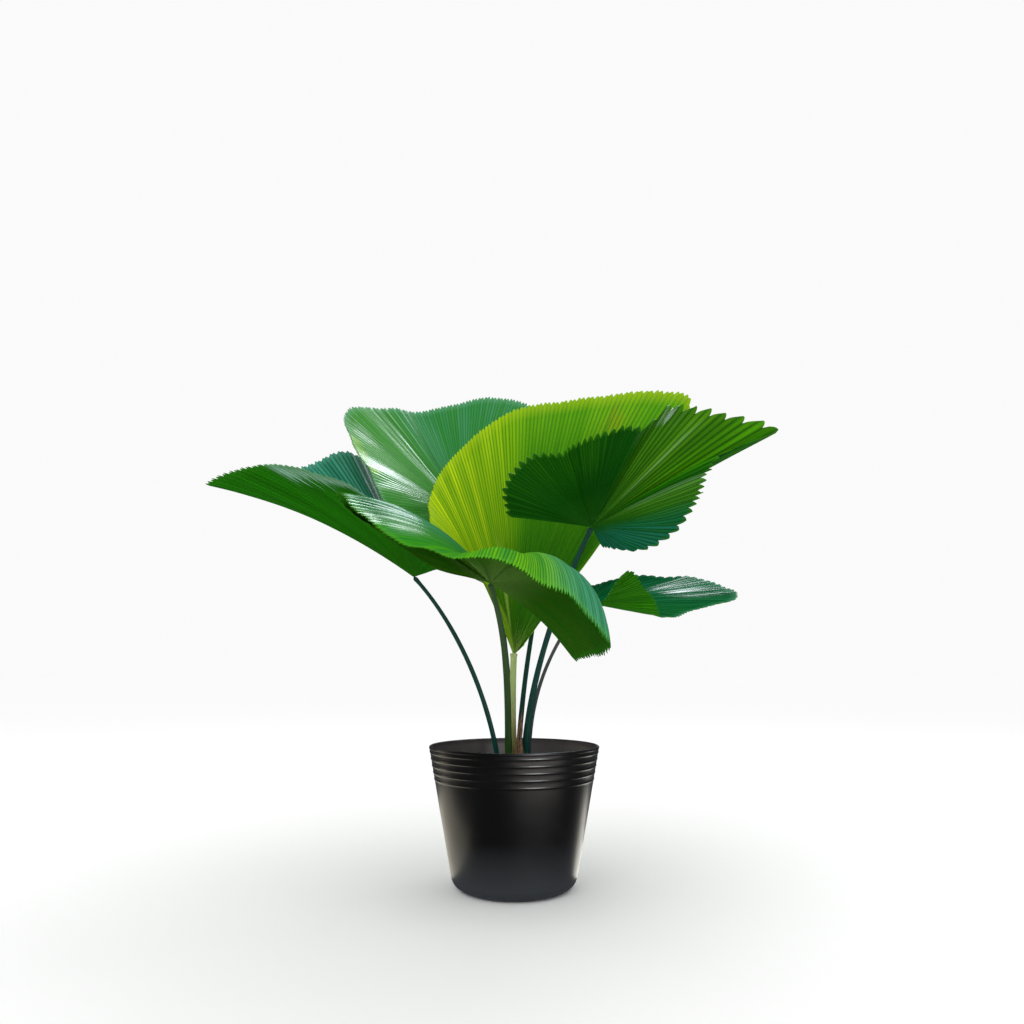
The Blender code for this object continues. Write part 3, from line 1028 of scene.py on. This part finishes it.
@dataclass
class DrySheath:
    """The ragged brown leaf sheath at the foot of the middle stalk, as torn fibre strips."""

    foot: tuple[float, float] = (0.008, -0.018)
    height: float = 84 * MM
    bend: float = 6 * MM
    radius: float = 6.5 * MM
    strips: int = 26
    rows: int = 16
    sides: int = 5
    # Spans of each strip's height, spread, waviness and thickness, the last two in millimetres
    heights: tuple[float, float] = (0.35, 1.0)
    spreads: tuple[float, float] = (0.35, 1.0)
    waves: tuple[float, float] = (0.4, 1.6)
    beats: tuple[float, float] = (5, 12)
    thicknesses: tuple[float, float] = (0.4, 1.5)
    twist: float = 1.4
    narrowing: float = 0.75
    thinning: float = 0.85
    seed: int = 23

    def build(self) -> bpy.types.Object:
        """Build the strips in place of the CAD sheath.

        Returns:
            The sheath's piece.
        """
        rng = np.random.default_rng(self.seed)
        rows, sides = self.rows, self.sides
        all_points: list[Points] = []
        all_faces: list[list[int]] = []
        for _ in range(self.strips):
            share = np.linspace(0.0, 1.0, rows)
            tall = self.height * rng.uniform(*self.heights)
            around = rng.uniform(0, 2 * math.pi)
            twist = rng.uniform(-self.twist, self.twist)
            closing = 1 - self.narrowing * share * tall / self.height
            spread = self.radius * closing * rng.uniform(*self.spreads)
            wave = rng.uniform(*self.waves) * MM
            beat = rng.uniform(*self.beats)
            turn = around + twist * share
            rise = share * tall
            x = self.foot[0] + self.bend * (rise / self.height) ** 2 + np.cos(turn) * spread
            y = self.foot[1] + np.sin(turn) * spread
            x = x + wave * np.sin(share * beat)
            path = np.stack([x, y, SOIL_TOP + rise], axis=-1)
            thick = rng.uniform(*self.thicknesses) * MM * (1 - share**2 * self.thinning)
            angle = np.linspace(0, 2 * math.pi, sides, endpoint=False)
            ring = np.stack([np.cos(angle), np.sin(angle) * 0.5, 0 * angle], axis=-1)
            points = path[None] + ring[:, None, :] * thick[None, :, None]
            start = len(all_points) * sides * rows
            all_points.append(points.reshape(-1, 3))
            all_faces += grid_faces(sides, rows, start, closed=True).tolist()
            all_faces.append([start + side * rows for side in range(sides)][::-1])
            all_faces.append([start + side * rows + rows - 1 for side in range(sides)])
        fibre = LooseOrganic("dry_palm_fibre", "#4A2E20", "#A98468", grain=2.0 * MM)
        piece = mesh_piece("sheath_fibres", np.concatenate(all_points), all_faces, [fibre.make()])
        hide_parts("leaf_sheath")
        return piece


@dataclass(frozen=True)
class SoftLamp:
    """A soft rectangular light that faces the middle of the crown.

    azimuth is in degrees round the plant, 0 at the camera and 90 to its right, and
    elevation in degrees above the horizon. distance is from the middle of the crown,
    size is width and height, and radiance the brightness of its face.
    """

    name: str
    azimuth: float
    elevation: float
    distance: float
    size: tuple[float, float]
    radiance: float
    colour: str
    reach: Reach


@dataclass(frozen=True)
class FloorCard:
    """A bright card that lies on the floor and shows in the pot's wall alone.

    distance is from the pot's middle, and size is width and length outwards.
    """

    name: str
    azimuth: float
    distance: float
    size: tuple[float, float]
    radiance: float
    colour: str


@dataclass
class Studio:
    """Pale floor, soft lights and the camera at the photograph's place."""

    camera_at: Vector3 = (-0.0035, -1.3, 0.334)
    pitch_deg: float = 12.0
    lens: float = 26.5
    sensor_width: float = 36.0
    clip_start: float = 0.01
    floor_colour: str = "#FBFBFB"
    floor_in_gloss: str = "#C8D4E0"
    floor_half: float = 40.0
    floor_drop: float = 0.5 * MM
    sky_colour: str = "#FFFFFF"
    sky_in_gloss: str = "#DCEBF2"
    crown: Vector3 = (0.0, 0.0, 0.6)
    ambient: float = 1.0
    backdrop: float = 0.96
    mirrored: float = 0.12
    floor_mirrored: float = 0.14
    pot_only: bpy.types.Collection | None = None
    lamps: tuple[SoftLamp, ...] = (
        SoftLamp("window_gloss", 166.0, 45.0, 2.8, (1.3, 1.1), 12.0, "#F0F8FF", Reach.GLOSS),
        SoftLamp("sky_gloss", 104.0, 78.0, 2.6, (1.0, 0.9), 12.0, "#F0F8FF", Reach.GLOSS),
        SoftLamp("low_gloss", 27.0, -17.0, 1.7, (0.6, 0.18), 16.0, "#F0F8FF", Reach.GLOSS),
        SoftLamp("ring_gloss", 30.0, 20.0, 2.6, (1.1, 0.9), 26.0, "#FFFFFF", Reach.POT_GLOSS),
        SoftLamp("left_gloss", -112.0, 2.0, 2.4, (0.5, 1.8), 3.0, "#FFF3D8", Reach.POT_GLOSS),
        SoftLamp("sky_fill", 150.0, 62.0, 3.0, (2.0, 2.0), 1.1, "#FFFFFF", Reach.FILL),
        SoftLamp("front_fill", -30.0, 24.0, 3.0, (1.6, 1.6), 1.6, "#FFFFFF", Reach.FILL),
    )
    cards: tuple[FloorCard, ...] = (
        FloorCard("left_card", -124.0, 0.36, (0.5, 0.5), 1.5, "#FFF6E0"),
        FloorCard("right_card", 124.0, 0.36, (0.16, 0.5), 3.0, "#FBF8EC"),
        FloorCard("front_card", 30.0, 0.58, (0.6, 0.3), 3.2, "#FFF6EC"),
    )
    card_height: float = 2 * MM

    def set_camera(self) -> None:
        """Set the camera."""
        data = bpy.data.cameras.new("camera")
        data.lens = self.lens
        data.sensor_width = self.sensor_width
        data.clip_start = self.clip_start
        camera = bpy.data.objects.new("camera", data)
        camera.location = self.camera_at
        camera.rotation_euler = (math.radians(90.0 + self.pitch_deg), 0.0, 0.0)
        bpy.context.scene.collection.objects.link(camera)
        bpy.context.scene.camera = camera

    def set_lamp(self, plan: SoftLamp) -> bpy.types.Object:
        """Add one soft light.

        Args:
            plan: The lamp's place, size and light.

        Returns:
            The lamp.
        """
        data = bpy.data.lights.new(plan.name, "AREA")
        data.shape = "RECTANGLE"
        data.size, data.size_y = plan.size
        data.energy = plan.radiance * math.pi * plan.size[0] * plan.size[1]
        data.color = srgb(plan.colour)[:3]
        turn, rise = math.radians(plan.azimuth), math.radians(plan.elevation)
        way = (math.sin(turn) * math.cos(rise), -math.cos(turn) * math.cos(rise), math.sin(rise))
        lamp = bpy.data.objects.new(plan.name, data)
        lamp.location = [middle + plan.distance * part for middle, part in zip(self.crown, way)]
        lamp.rotation_euler = (math.pi / 2 - rise, 0.0, turn)
        lamp.visible_camera = False
        lamp.visible_diffuse = plan.reach is Reach.FILL
        lamp.visible_glossy = plan.reach is not Reach.FILL
        if plan.reach is Reach.POT_GLOSS:
            lamp.light_linking.receiver_collection = self.pot_only
        bpy.context.scene.collection.objects.link(lamp)
        return lamp

    def set_card(self, card: FloorCard) -> None:
        """Lay one bright card on the floor, facing up, for the pot's wall to mirror.

        Args:
            card: The card's place, size and light.
        """
        light = (card.size, card.radiance, card.colour, Reach.POT_GLOSS)
        lamp = self.set_lamp(SoftLamp(card.name, card.azimuth, 0.0, 1.0, *light))
        turn = math.radians(card.azimuth)
        outward = (math.sin(turn) * card.distance, -math.cos(turn) * card.distance)
        lamp.location = (*outward, self.card_height)
        lamp.rotation_euler = (math.pi, 0.0, turn)

    def set_floor(self) -> None:
        """Lay the pale floor, which stays dim in the gloss as the surroundings do."""
        material, tree, shader = new_material("pale_floor")
        matt = {"Base Color": srgb(self.floor_colour), "Roughness": 1.0, "Specular IOR Level": 0.0}
        set_inputs(tree, shader, matt)
        in_gloss = add_node(tree, "LightPath").outputs["Is Glossy Ray"]
        glow = {"Color": srgb(self.floor_in_gloss), "Strength": self.floor_mirrored}
        dim = add_node(tree, "Emission", glow).outputs["Emission"]
        mixed = add_node(tree, "MixShader", {0: in_gloss, 1: shader.outputs["BSDF"], 2: dim})
        set_inputs(tree, tree.nodes["Material Output"], {"Surface": mixed.outputs["Shader"]})
        mesh = bpy.data.meshes.new("floor")
        half = self.floor_half
        corners = [(-half, -half, 0), (half, -half, 0), (half, half, 0), (-half, half, 0)]
        mesh.from_pydata(corners, [], [(0, 1, 2, 3)])
        mesh.materials.append(material)
        floor = bpy.data.objects.new("floor", mesh)
        floor.location.z = -self.floor_drop
        bpy.context.scene.collection.objects.link(floor)

    def set_surroundings(self) -> None:
        """White surroundings that stay dim in the gloss, so that the lamps draw it."""
        world = bpy.data.worlds.new("studio")
        world.use_nodes = True
        tree = world.node_tree
        ray = add_node(tree, "LightPath").outputs
        sky = tree.nodes["Background"]
        set_inputs(tree, sky, {"Color": srgb(self.sky_colour), "Strength": self.ambient})
        view = {"Color": srgb(self.sky_colour), "Strength": self.backdrop}
        seen = add_node(tree, "Background", view).outputs["Background"]
        glow = {"Color": srgb(self.sky_in_gloss), "Strength": self.mirrored}
        mirrored = add_node(tree, "Background", glow).outputs["Background"]
        in_gloss = {0: ray["Is Glossy Ray"], 1: sky.outputs["Background"], 2: mirrored}
        first = add_node(tree, "MixShader", in_gloss).outputs["Shader"]
        second = add_node(tree, "MixShader", {0: ray["Is Camera Ray"], 1: first, 2: seen})
        set_inputs(tree, tree.nodes["World Output"], {"Surface": second.outputs["Shader"]})
        bpy.context.scene.world = world

    def build(self) -> None:
        """Set the camera, the floor, the surroundings and the lights."""
        self.set_camera()
        self.pot_only = bpy.data.collections.new("pot_only")
        bpy.context.scene.view_settings.view_transform = "Standard"
        self.set_floor()
        self.set_surroundings()
        for lamp in self.lamps:
            self.set_lamp(lamp)
        for card in self.cards:
            self.set_card(card)


DARK_STALK = PalmStalk("dark_green_stalk", "#12463E", "#0E3A30", "#1E5A4C")
THICK_STALK = PalmStalk("front_green_stalk", "#24481A", "#35502E", "#4E6A3A")
PALE_STALK = PalmStalk("pale_green_stalk", "#8A7A4A", "#9EB46C", "#B4BE88")
PURPLE_STALK = PalmStalk("purplish_stalk", "#1F4B45", "#504A4C", "#3A4646", 0.5)


def upper_face(name: str, *finish: object, **changes: object) -> PalmLamina:
    """An upper face, with a faint gloss unless a shine is given."""
    return PalmLamina(name, *finish, **{"roughness": 0.4, "shine": 0.05, **changes})


def under_face(name: str, *finish: object, **changes: object) -> PalmLamina:
    """An under face, whose cuticle is thinner and duller."""
    return PalmLamina(name, *finish, **{"roughness": 0.5, "shine": 0.02, **changes})


# Colours run: across the fan, then hub, streak, fold line, fold line at the hub, margin
YOUNG_UPPER = upper_face(
    "young_upper",
    (
        (0.0, "#B8D816"), (0.3, "#D2EE12"), (0.45, "#C0E010"), (0.58, "#86BE08"), (0.68, "#5CA406"),
        (0.76, "#7CB80A"), (0.88, "#5CA806"), (1.0, "#4E900C"),
    ),
    "#165404", "#4A9204", "#2E7404", "#2E6A08", "#A8C818",
    tints=(
        Tint(0.6, 0.96, 0.2, 0.78, "#2C7004", 0.85, 0.14, 0.6),
        Tint(0.77, 0.82, 0.84, 0.9, "#A8861C", 0.5, 0.03),
        Tint(-0.2, 1.2, -0.3, 0.4, "#184E06", 0.9, 0.12, 0.6),
        Tint(0.03, 0.07, -0.3, 0.42, "#B4CC60", 0.8, 0.03, 0.8),
        Tint(0.17, 0.21, -0.3, 0.42, "#B4CC60", 0.8, 0.03, 0.8),
        Tint(0.31, 0.34, -0.3, 0.42, "#A4C450", 0.7, 0.03, 0.8),
        Tint(0.47, 0.5, -0.3, 0.42, "#A4C450", 0.7, 0.03, 0.8),
        Tint(-0.2, 1.2, -0.3, 0.03, "#90AA4C", 0.9, 0.03, 1.0),
    ),
    segment_share=0.5, hub_reach=0.9,
)
YOUNG_UNDER = under_face(
    "young_under", ((0.0, "#44720A"), (0.5, "#5E8C0C"), (1.0, "#4A760A")), "#224C04", "#8CB41C",
    "#2C5A06", "#4E8414", "#9CBC20", tints=(Tint(-0.2, 1.2, -0.3, 0.05, "#90AA4C", 0.9, 0.03, 1.0),),
)
# The teal stops at 0.7 and 0.86, on the far half, are the leaf's green with painted reflection of the sky
# in it
LEFT_UPPER = upper_face(
    "left_upper",
    ((0.0, "#2A8040"), (0.7, "#4AA488"), (0.86, "#3E9C7C"), (0.9, "#12641E"), (1.0, "#1E7A1E")),
    "#1A6A10", "#0A5A44", "#0A4C30", "#2E7A2A", "#5AA08C",
    tints=(Tint(0.836, 0.862, 0.3, 1.3, None, 1.0, 0.02, 0.5),), shine=0.02,
)
# The pale tint along the near margin is painted sheen
LEFT_UNDER = under_face(
    "left_under", ((0.0, "#1F7000"), (0.5, "#207C00"), (1.0, "#1C6A00")), "#184A02", "#145400",
    "#0E4600", "#2C6A10", "#2A7410", tints=(Tint(0.16, 0.46, 0.85, 1.5, "#96C4AA", 0.9, 0.03, 0.6),),
)
# The teal stops on the right lobe, from 0 to 0.35, and on the left lobe, at 0.76 and 0.84, are the leaf's
# green with painted reflection of the sky in it
FRONT_UPPER = upper_face(
    "front_upper",
    (
        (0.0, "#56A08E"), (0.28, "#5EAC94"), (0.35, "#60A868"), (0.4, "#7EC20C"), (0.54, "#62AE08"),
        (0.66, "#46A008"), (0.76, "#4E9A40"), (0.84, "#5C9C80"), (0.92, "#2A7A1C"), (1.0, "#4A9E14"),
    ),
    "#2E8206", "#1E7A34", "#126420", "#3E8A14", "#5EB02C",
    tints=(
        Tint(0.72, 0.88, 0.6, 0.88, None, 0.42, 0.08, 0.05),
        Tint(0.74, 1.0, 0.94, 1.5, None, 0.7, 0.02, 0.6),
        # This dark tint inside the left lobe's margin is painted shade
        Tint(0.76, 1.0, 0.84, 0.93, "#0C5A0C", 0.9, 0.02, 0.6),
        Tint(0.0, 0.3, 0.5, 1.1, None, 0.4, 0.1, 0.0),
    ),
    shine=0.0, segment_share=0.5,
)
FRONT_UNDER = under_face(
    "front_under", ((0.0, "#1A5A06"), (0.25, "#1C620A"), (0.5, "#427C16"), (1.0, "#1A5205")), "#426A18",
    "#3A5C08", "#144C06", "#789A58", "#2C7A18", streak_share=0.35,
)
RIGHT_UPPER = upper_face(
    "right_upper", ((0.0, "#1F6A50"), (0.3, "#2C7418"), (0.5, "#2E7A10"), (1.0, "#1F5F14")), "#1A5A0A",
    "#10460A", "#0C380A", "#2E6A1A", "#3C8020",
)
# The teal stops from 0 to 0.2 and the teal tint on the lower lobe are the leaf's green with painted
# reflection of the sky in it
RIGHT_UNDER = under_face(
    "right_under",
    (
        (0.0, "#0F6452"), (0.12, "#126A44"), (0.2, "#1C7440"), (0.25, "#3E7E18"), (0.3, "#4E8A22"),
        (0.33, "#1A5E06"), (0.37, "#348A0A"), (0.43, "#54A00C"), (0.47, "#5C9A18"), (0.52, "#4E8E14"),
        (0.56, "#0C4A08"), (0.7, "#0A4404"), (0.82, "#135208"), (1.0, "#14560A"),
    ),
    "#0A4006", "#0C4A04", "#0A3E04", "#357822", "#3E7C1A",
    tints=(
        # These two pale tints along the creases are painted sheen
        Tint(0.3, 0.32, 0.3, 1.2, "#7C9C80", 0.45, 0.03, 0.2),
        Tint(0.466, 0.472, 0.3, 0.86, "#8CA88A", 0.5, 0.015, 0.4),
        Tint(0.505, 0.522, 0.82, 1.0, None, 0.9, 0.03, 0.1),
        Tint(0.528, 0.548, 0.78, 1.0, None, 1.0, 0.03, 0.3),
        Tint(0.6, 0.95, 0.62, 1.3, "#2E7408", 0.4, 0.15, 0.0),
        # Teal on the lower lobe: painted reflection of the sky
        Tint(0.02, 0.2, 0.2, 1.0, "#2A7E74", 0.5, 0.1, 0.0),
    ),
    streak_share=0.4, segment_share=0.45,
)
# The blue-green stops from 0.57 to 0.8, on the right half, are the leaf's green with painted reflection of
# the sky in it
BLUE_UPPER = upper_face(
    "blue_upper",
    (
        (0.0, "#4A9A30"), (0.24, "#5CA44C"), (0.34, "#46A01C"), (0.46, "#4A9C20"), (0.55, "#5AA454"),
        (0.57, "#3F8E5C"), (0.8, "#3F8E58"), (1.0, "#3A8C3C"),
    ),
    "#2E8A2E", "#2C8410", "#1E7030", "#66AA60", "#6CAA84",
    tints=(
        Tint(0.18, 0.34, 0.45, 0.97, None, 1.0, 0.06, 0.5),
        Tint(0.05, 0.32, 0.05, 0.6, None, 0.9, 0.08, 0.0),
        Tint(0.505, 0.555, 0.18, 1.1, None, 1.0, 0.03, 0.3),
        Tint(0.41, 0.46, 0.72, 0.9, None, 0.9, 0.05, 0.1),
        Tint(0.36, 0.41, 0.2, 0.9, "#3C960A", 0.8, 0.04, 0.3),
        Tint(0.23, 0.4, 0.92, 1.5, "#96CC10", 1.0, 0.012, 0.9),
    ),
    segment_share=0.5,
)
BLUE_UNDER = under_face(
    "blue_under", ((0.0, "#4F9A08"), (1.0, "#1F6A12")), "#1F5208", "#165808", "#0C4206", "#4A8030",
    "#4C8A30",
)
# The teal stops of this face are the leaf's green with painted reflection of the sky in it
LOW_UPPER = upper_face(
    "low_upper", ((0.0, "#22764E"), (0.35, "#2A7E5A"), (0.5, "#227A3C"), (1.0, "#127040")), "#1C7838",
    "#0A5A2C", "#06461E", "#3A8A4A", "#5CA082",
    tints=(Tint(0.24, 0.4, 0.58, 1.2, None, 0.8, 0.08, 0.0),), shine=0.0, segment_share=0.6,
)
LOW_UNDER = under_face(
    "low_under", ((0.0, "#34960C"), (1.0, "#429610")), "#2A7A09", "#1E6A07", "#0C4203", "#3A7420",
    "#2E7A18",
)
BACK_UPPER = upper_face(
    "back_upper", ((0.0, "#2E7E12"), (0.5, "#358A1A"), (1.0, "#1F7628")), "#28760A", "#166410",
    "#0C4E08", "#4A8C2C", "#4E9440",
)
BACK_UNDER = under_face(
    "back_under", ((0.0, "#206208"), (1.0, "#185A0C")), "#1C5206", "#124A05", "#0C3C04", "#3A6A20",
    "#2C6C18",
)

LEAVES: tuple[LeafPlan, ...] = (
    LeafPlan(
        name="left", hub=(-0.171, -0.02, 0.493), foot=(-0.028, 0.0), lean=(-0.015, -0.01, 0.09),
        arrive=(-0.08, 0.0, 0.085), seat=0.0, foot_radius=0.0042, tip_radius=0.004,
        ribs=(
            (0.05, -0.07, 0.005, 0.0), (0.045, -0.13, 0.03, 0.02), (-0.02, -0.2, 0.075, 0.08),
            (-0.12, -0.2, 0.13, 0.08), (-0.25, -0.12, 0.165, 0.04), (-0.365, 0.0, 0.165, 0.05),
            (-0.27, 0.22, 0.255, 0.0), (-0.175, 0.28, 0.305, 0.0), (-0.01, 0.24, 0.145, 0.0),
        ),
        upper=LEFT_UPPER, under=LEFT_UNDER, stalk=DARK_STALK, blade_slot="blade_dark",
        stalk_slot="petiole_dark", cut=ToothCut.SAW, tooth=13 * MM, pleats=84, fold=0.07, seed=3,
    ),
    LeafPlan(
        name="front", hub=(-0.038, -0.12, 0.471), foot=(-0.009, -0.016), lean=(-0.002, -0.014, 0.1),
        arrive=(-0.03, -0.05, 0.09), seat=0.0, foot_radius=0.006, tip_radius=0.0052,
        ribs=(
            (0.127, -0.1, -0.122, 0.04), (0.156, -0.24, -0.11, 0.2), (0.112, -0.305, -0.07, 0.19),
            (0.06, -0.34, -0.04, 0.13), (0.015, -0.35, -0.014, 0.09), (-0.045, -0.34, -0.008, 0.06),
            (-0.115, -0.3, 0.022, 0.06), (-0.195, -0.24, 0.085, 0.1), (-0.165, -0.18, 0.06, 0.06),
            (-0.08, -0.06, 0.015, 0.0),
        ),
        upper=FRONT_UPPER, under=FRONT_UNDER, stalk=THICK_STALK, blade_slot="blade_dark",
        stalk_slot="petiole_dark", cut=ToothCut.SAW, tooth=16 * MM, pleats=92, fold=0.08, seed=5,
    ),
    LeafPlan(
        name="centre", hub=(-0.0005, 0.02, 0.363), foot=(-0.001, 0.002), lean=(-0.003, -0.001, 0.06),
        arrive=(0.002, 0.008, 0.06), seat=0.0038, foot_radius=0.0065, tip_radius=0.0065,
        ribs=(
            (-0.13, -0.11, 0.165, 0.16), (-0.152, 0.01, 0.285, 0.05), (-0.107, 0.05, 0.38, 0.03),
            (0.003, 0.1, 0.48, 0.03), (0.173, 0.11, 0.515, 0.03), (0.298, 0.1, 0.52, 0.02),
            (0.343, 0.08, 0.47, 0.02), (0.15, 0.03, 0.19, 0.0), (0.036, 0.008, 0.044, 0.0),
            (0.017, 0.004, 0.017, 0.0),
        ),
        upper=YOUNG_UPPER, under=YOUNG_UNDER, stalk=PALE_STALK, blade_slot="blade_pale",
        stalk_slot="petiole_pale", tooth=10 * MM, pleats=60, seed=7,
    ),
    LeafPlan(
        name="right", hub=(0.128, -0.08, 0.568), foot=(0.017, -0.002), lean=(0.006, -0.008, 0.095),
        arrive=(0.075, -0.04, 0.15), seat=0.0, foot_radius=0.0055, tip_radius=0.0048,
        ribs=(
            (0.014, -0.03, -0.04, 0.0), (0.07, -0.12, -0.058, 0.0), (0.125, -0.17, -0.012, 0.02),
            (0.198, -0.085, 0.1, -0.02), (0.293, -0.08, 0.148, 0.02), (0.23, -0.07, 0.172, 0.0),
            (0.15, -0.06, 0.192, 0.0), (0.12, -0.06, 0.192, 0.0), (0.085, -0.06, 0.158, 0.0),
            (0.045, -0.062, 0.156, 0.0), (-0.03, -0.068, 0.125, 0.0), (-0.055, -0.08, 0.106, 0.0),
            (-0.11, -0.08, 0.098, 0.0), (-0.148, -0.076, 0.052, 0.0), (-0.143, -0.04, 0.012, 0.0),
        ),
        upper=RIGHT_UPPER, under=RIGHT_UNDER, stalk=DARK_STALK, blade_slot="blade_dark",
        stalk_slot="petiole_dark", creases=((0.312, 0.018, -0.005), (0.468, 0.012, -0.003)),
        cut=ToothCut.FINGER, tooth=22 * MM, fold=0.13, seed=9,
    ),
    LeafPlan(
        name="back_left", hub=(-0.095, 0.16, 0.638), foot=(-0.006, 0.021), lean=(-0.002, 0.012, 0.095),
        arrive=(-0.085, 0.06, 0.165), seat=0.0, foot_radius=0.005, tip_radius=0.0048,
        ribs=(
            (-0.105, -0.14, -0.075, 0.0), (-0.16, -0.12, 0.03, 0.02), (-0.23, -0.02, 0.15, 0.0),
            (-0.262, 0.1, 0.26, 0.0), (-0.115, 0.16, 0.275, 0.0), (0.04, 0.16, 0.305, 0.0),
            (0.155, 0.12, 0.26, 0.0), (0.19, 0.06, 0.11, 0.0),
        ),
        upper=BLUE_UPPER, under=BLUE_UNDER, stalk=DARK_STALK, blade_slot="blade_mid",
        stalk_slot="petiole_dark", creases=((0.565, 0.02, 0.008),), pleats=80, fold=0.09, seed=13,
    ),
    LeafPlan(
        name="low_right", hub=(0.127, 0.05, 0.455), foot=(0.025, 0.014), lean=(0.002, -0.002, 0.085),
        arrive=(0.075, 0.02, 0.09), seat=0.0, foot_radius=0.0034, tip_radius=0.0036,
        ribs=(
            (0.025, 0.15, 0.045, 0.0), (0.135, 0.21, 0.075, 0.0), (0.25, 0.17, 0.065, 0.0),
            (0.285, 0.03, 0.015, 0.0), (0.14, -0.07, -0.03, 0.0), (0.1, -0.13, -0.005, 0.0),
            (0.055, -0.17, 0.035, -0.02), (0.02, -0.15, -0.01, 0.0),
        ),
        upper=LOW_UPPER, under=LOW_UNDER, stalk=PURPLE_STALK, blade_slot="blade_mid",
        stalk_slot="petiole_dark", cut=ToothCut.SAW, seed=17,
    ),
    LeafPlan(
        name="back_right", hub=(0.066, 0.13, 0.567), foot=(0.007, 0.023), lean=(0.006, 0.01, 0.095),
        arrive=(0.037, 0.05, 0.16), seat=0.0009, foot_radius=0.0045, tip_radius=0.0048,
        ribs=(
            (-0.075, 0.13, 0.125, 0.0), (-0.03, 0.25, 0.27, 0.0), (0.12, 0.31, 0.335, 0.0),
            (0.26, 0.29, 0.28, 0.0), (0.3, 0.19, 0.14, 0.0), (0.185, 0.09, 0.065, 0.0),
            (0.08, 0.01, 0.01, 0.0),
        ),
        upper=BACK_UPPER, under=BACK_UNDER, stalk=DARK_STALK, blade_slot="blade_mid",
        stalk_slot="petiole_dark", seed=19,
    ),
    LeafPlan(
        name="back", hub=(-0.03, 0.13, 0.487), foot=(-0.004, 0.038), lean=(0.0, 0.022, 0.095),
        arrive=(-0.015, 0.03, 0.1), seat=0.0005, foot_radius=0.0045, tip_radius=0.0048,
        ribs=(
            (-0.12, 0.03, 0.06, 0.0), (-0.155, 0.17, 0.125, 0.0), (-0.085, 0.29, 0.18, 0.04),
            (0.02, 0.33, 0.2, 0.04), (0.13, 0.27, 0.155, 0.04), (0.155, 0.13, 0.075, 0.0),
            (0.09, 0.03, 0.02, 0.0),
        ),
        upper=BACK_UPPER, under=BACK_UNDER, stalk=DARK_STALK, blade_slot="blade_dark",
        stalk_slot="petiole_dark", seed=29,
    ),
)


def main() -> None:
    """Build the plant piece by piece in the studio."""
    logging.basicConfig(level=logging.INFO, format="%(message)s")
    studio = Studio()
    studio.build()
    pot = NurseryPot()
    soil = PottingSoil(pot)
    pieces = [pot.build(), soil.build()]
    studio.pot_only.objects.link(pieces[0])
    crumb = LooseOrganic("dark_crumbs", "#21170F", "#5A4331")
    chip = LooseOrganic("pale_chips", "#8A7060", "#CDBFB4")
    pieces.append(soil.crumb_piece("soil_crumbs", soil.crumbs, (0.8 * MM, 3.6 * MM), crumb, 31))
    pieces.append(soil.crumb_piece("soil_chips", soil.chips, (0.8 * MM, 2.4 * MM), chip, 37))
    pieces.append(DrySheath().build())
    for plan in LEAVES:
        pieces.append(Petiole(plan).build())
        pieces.append(FanBlade(plan).build())
    for piece in pieces:
        LOG.info("%s: %d faces", piece.name, len(piece.data.polygons))


if __name__ == "__main__":
    main()
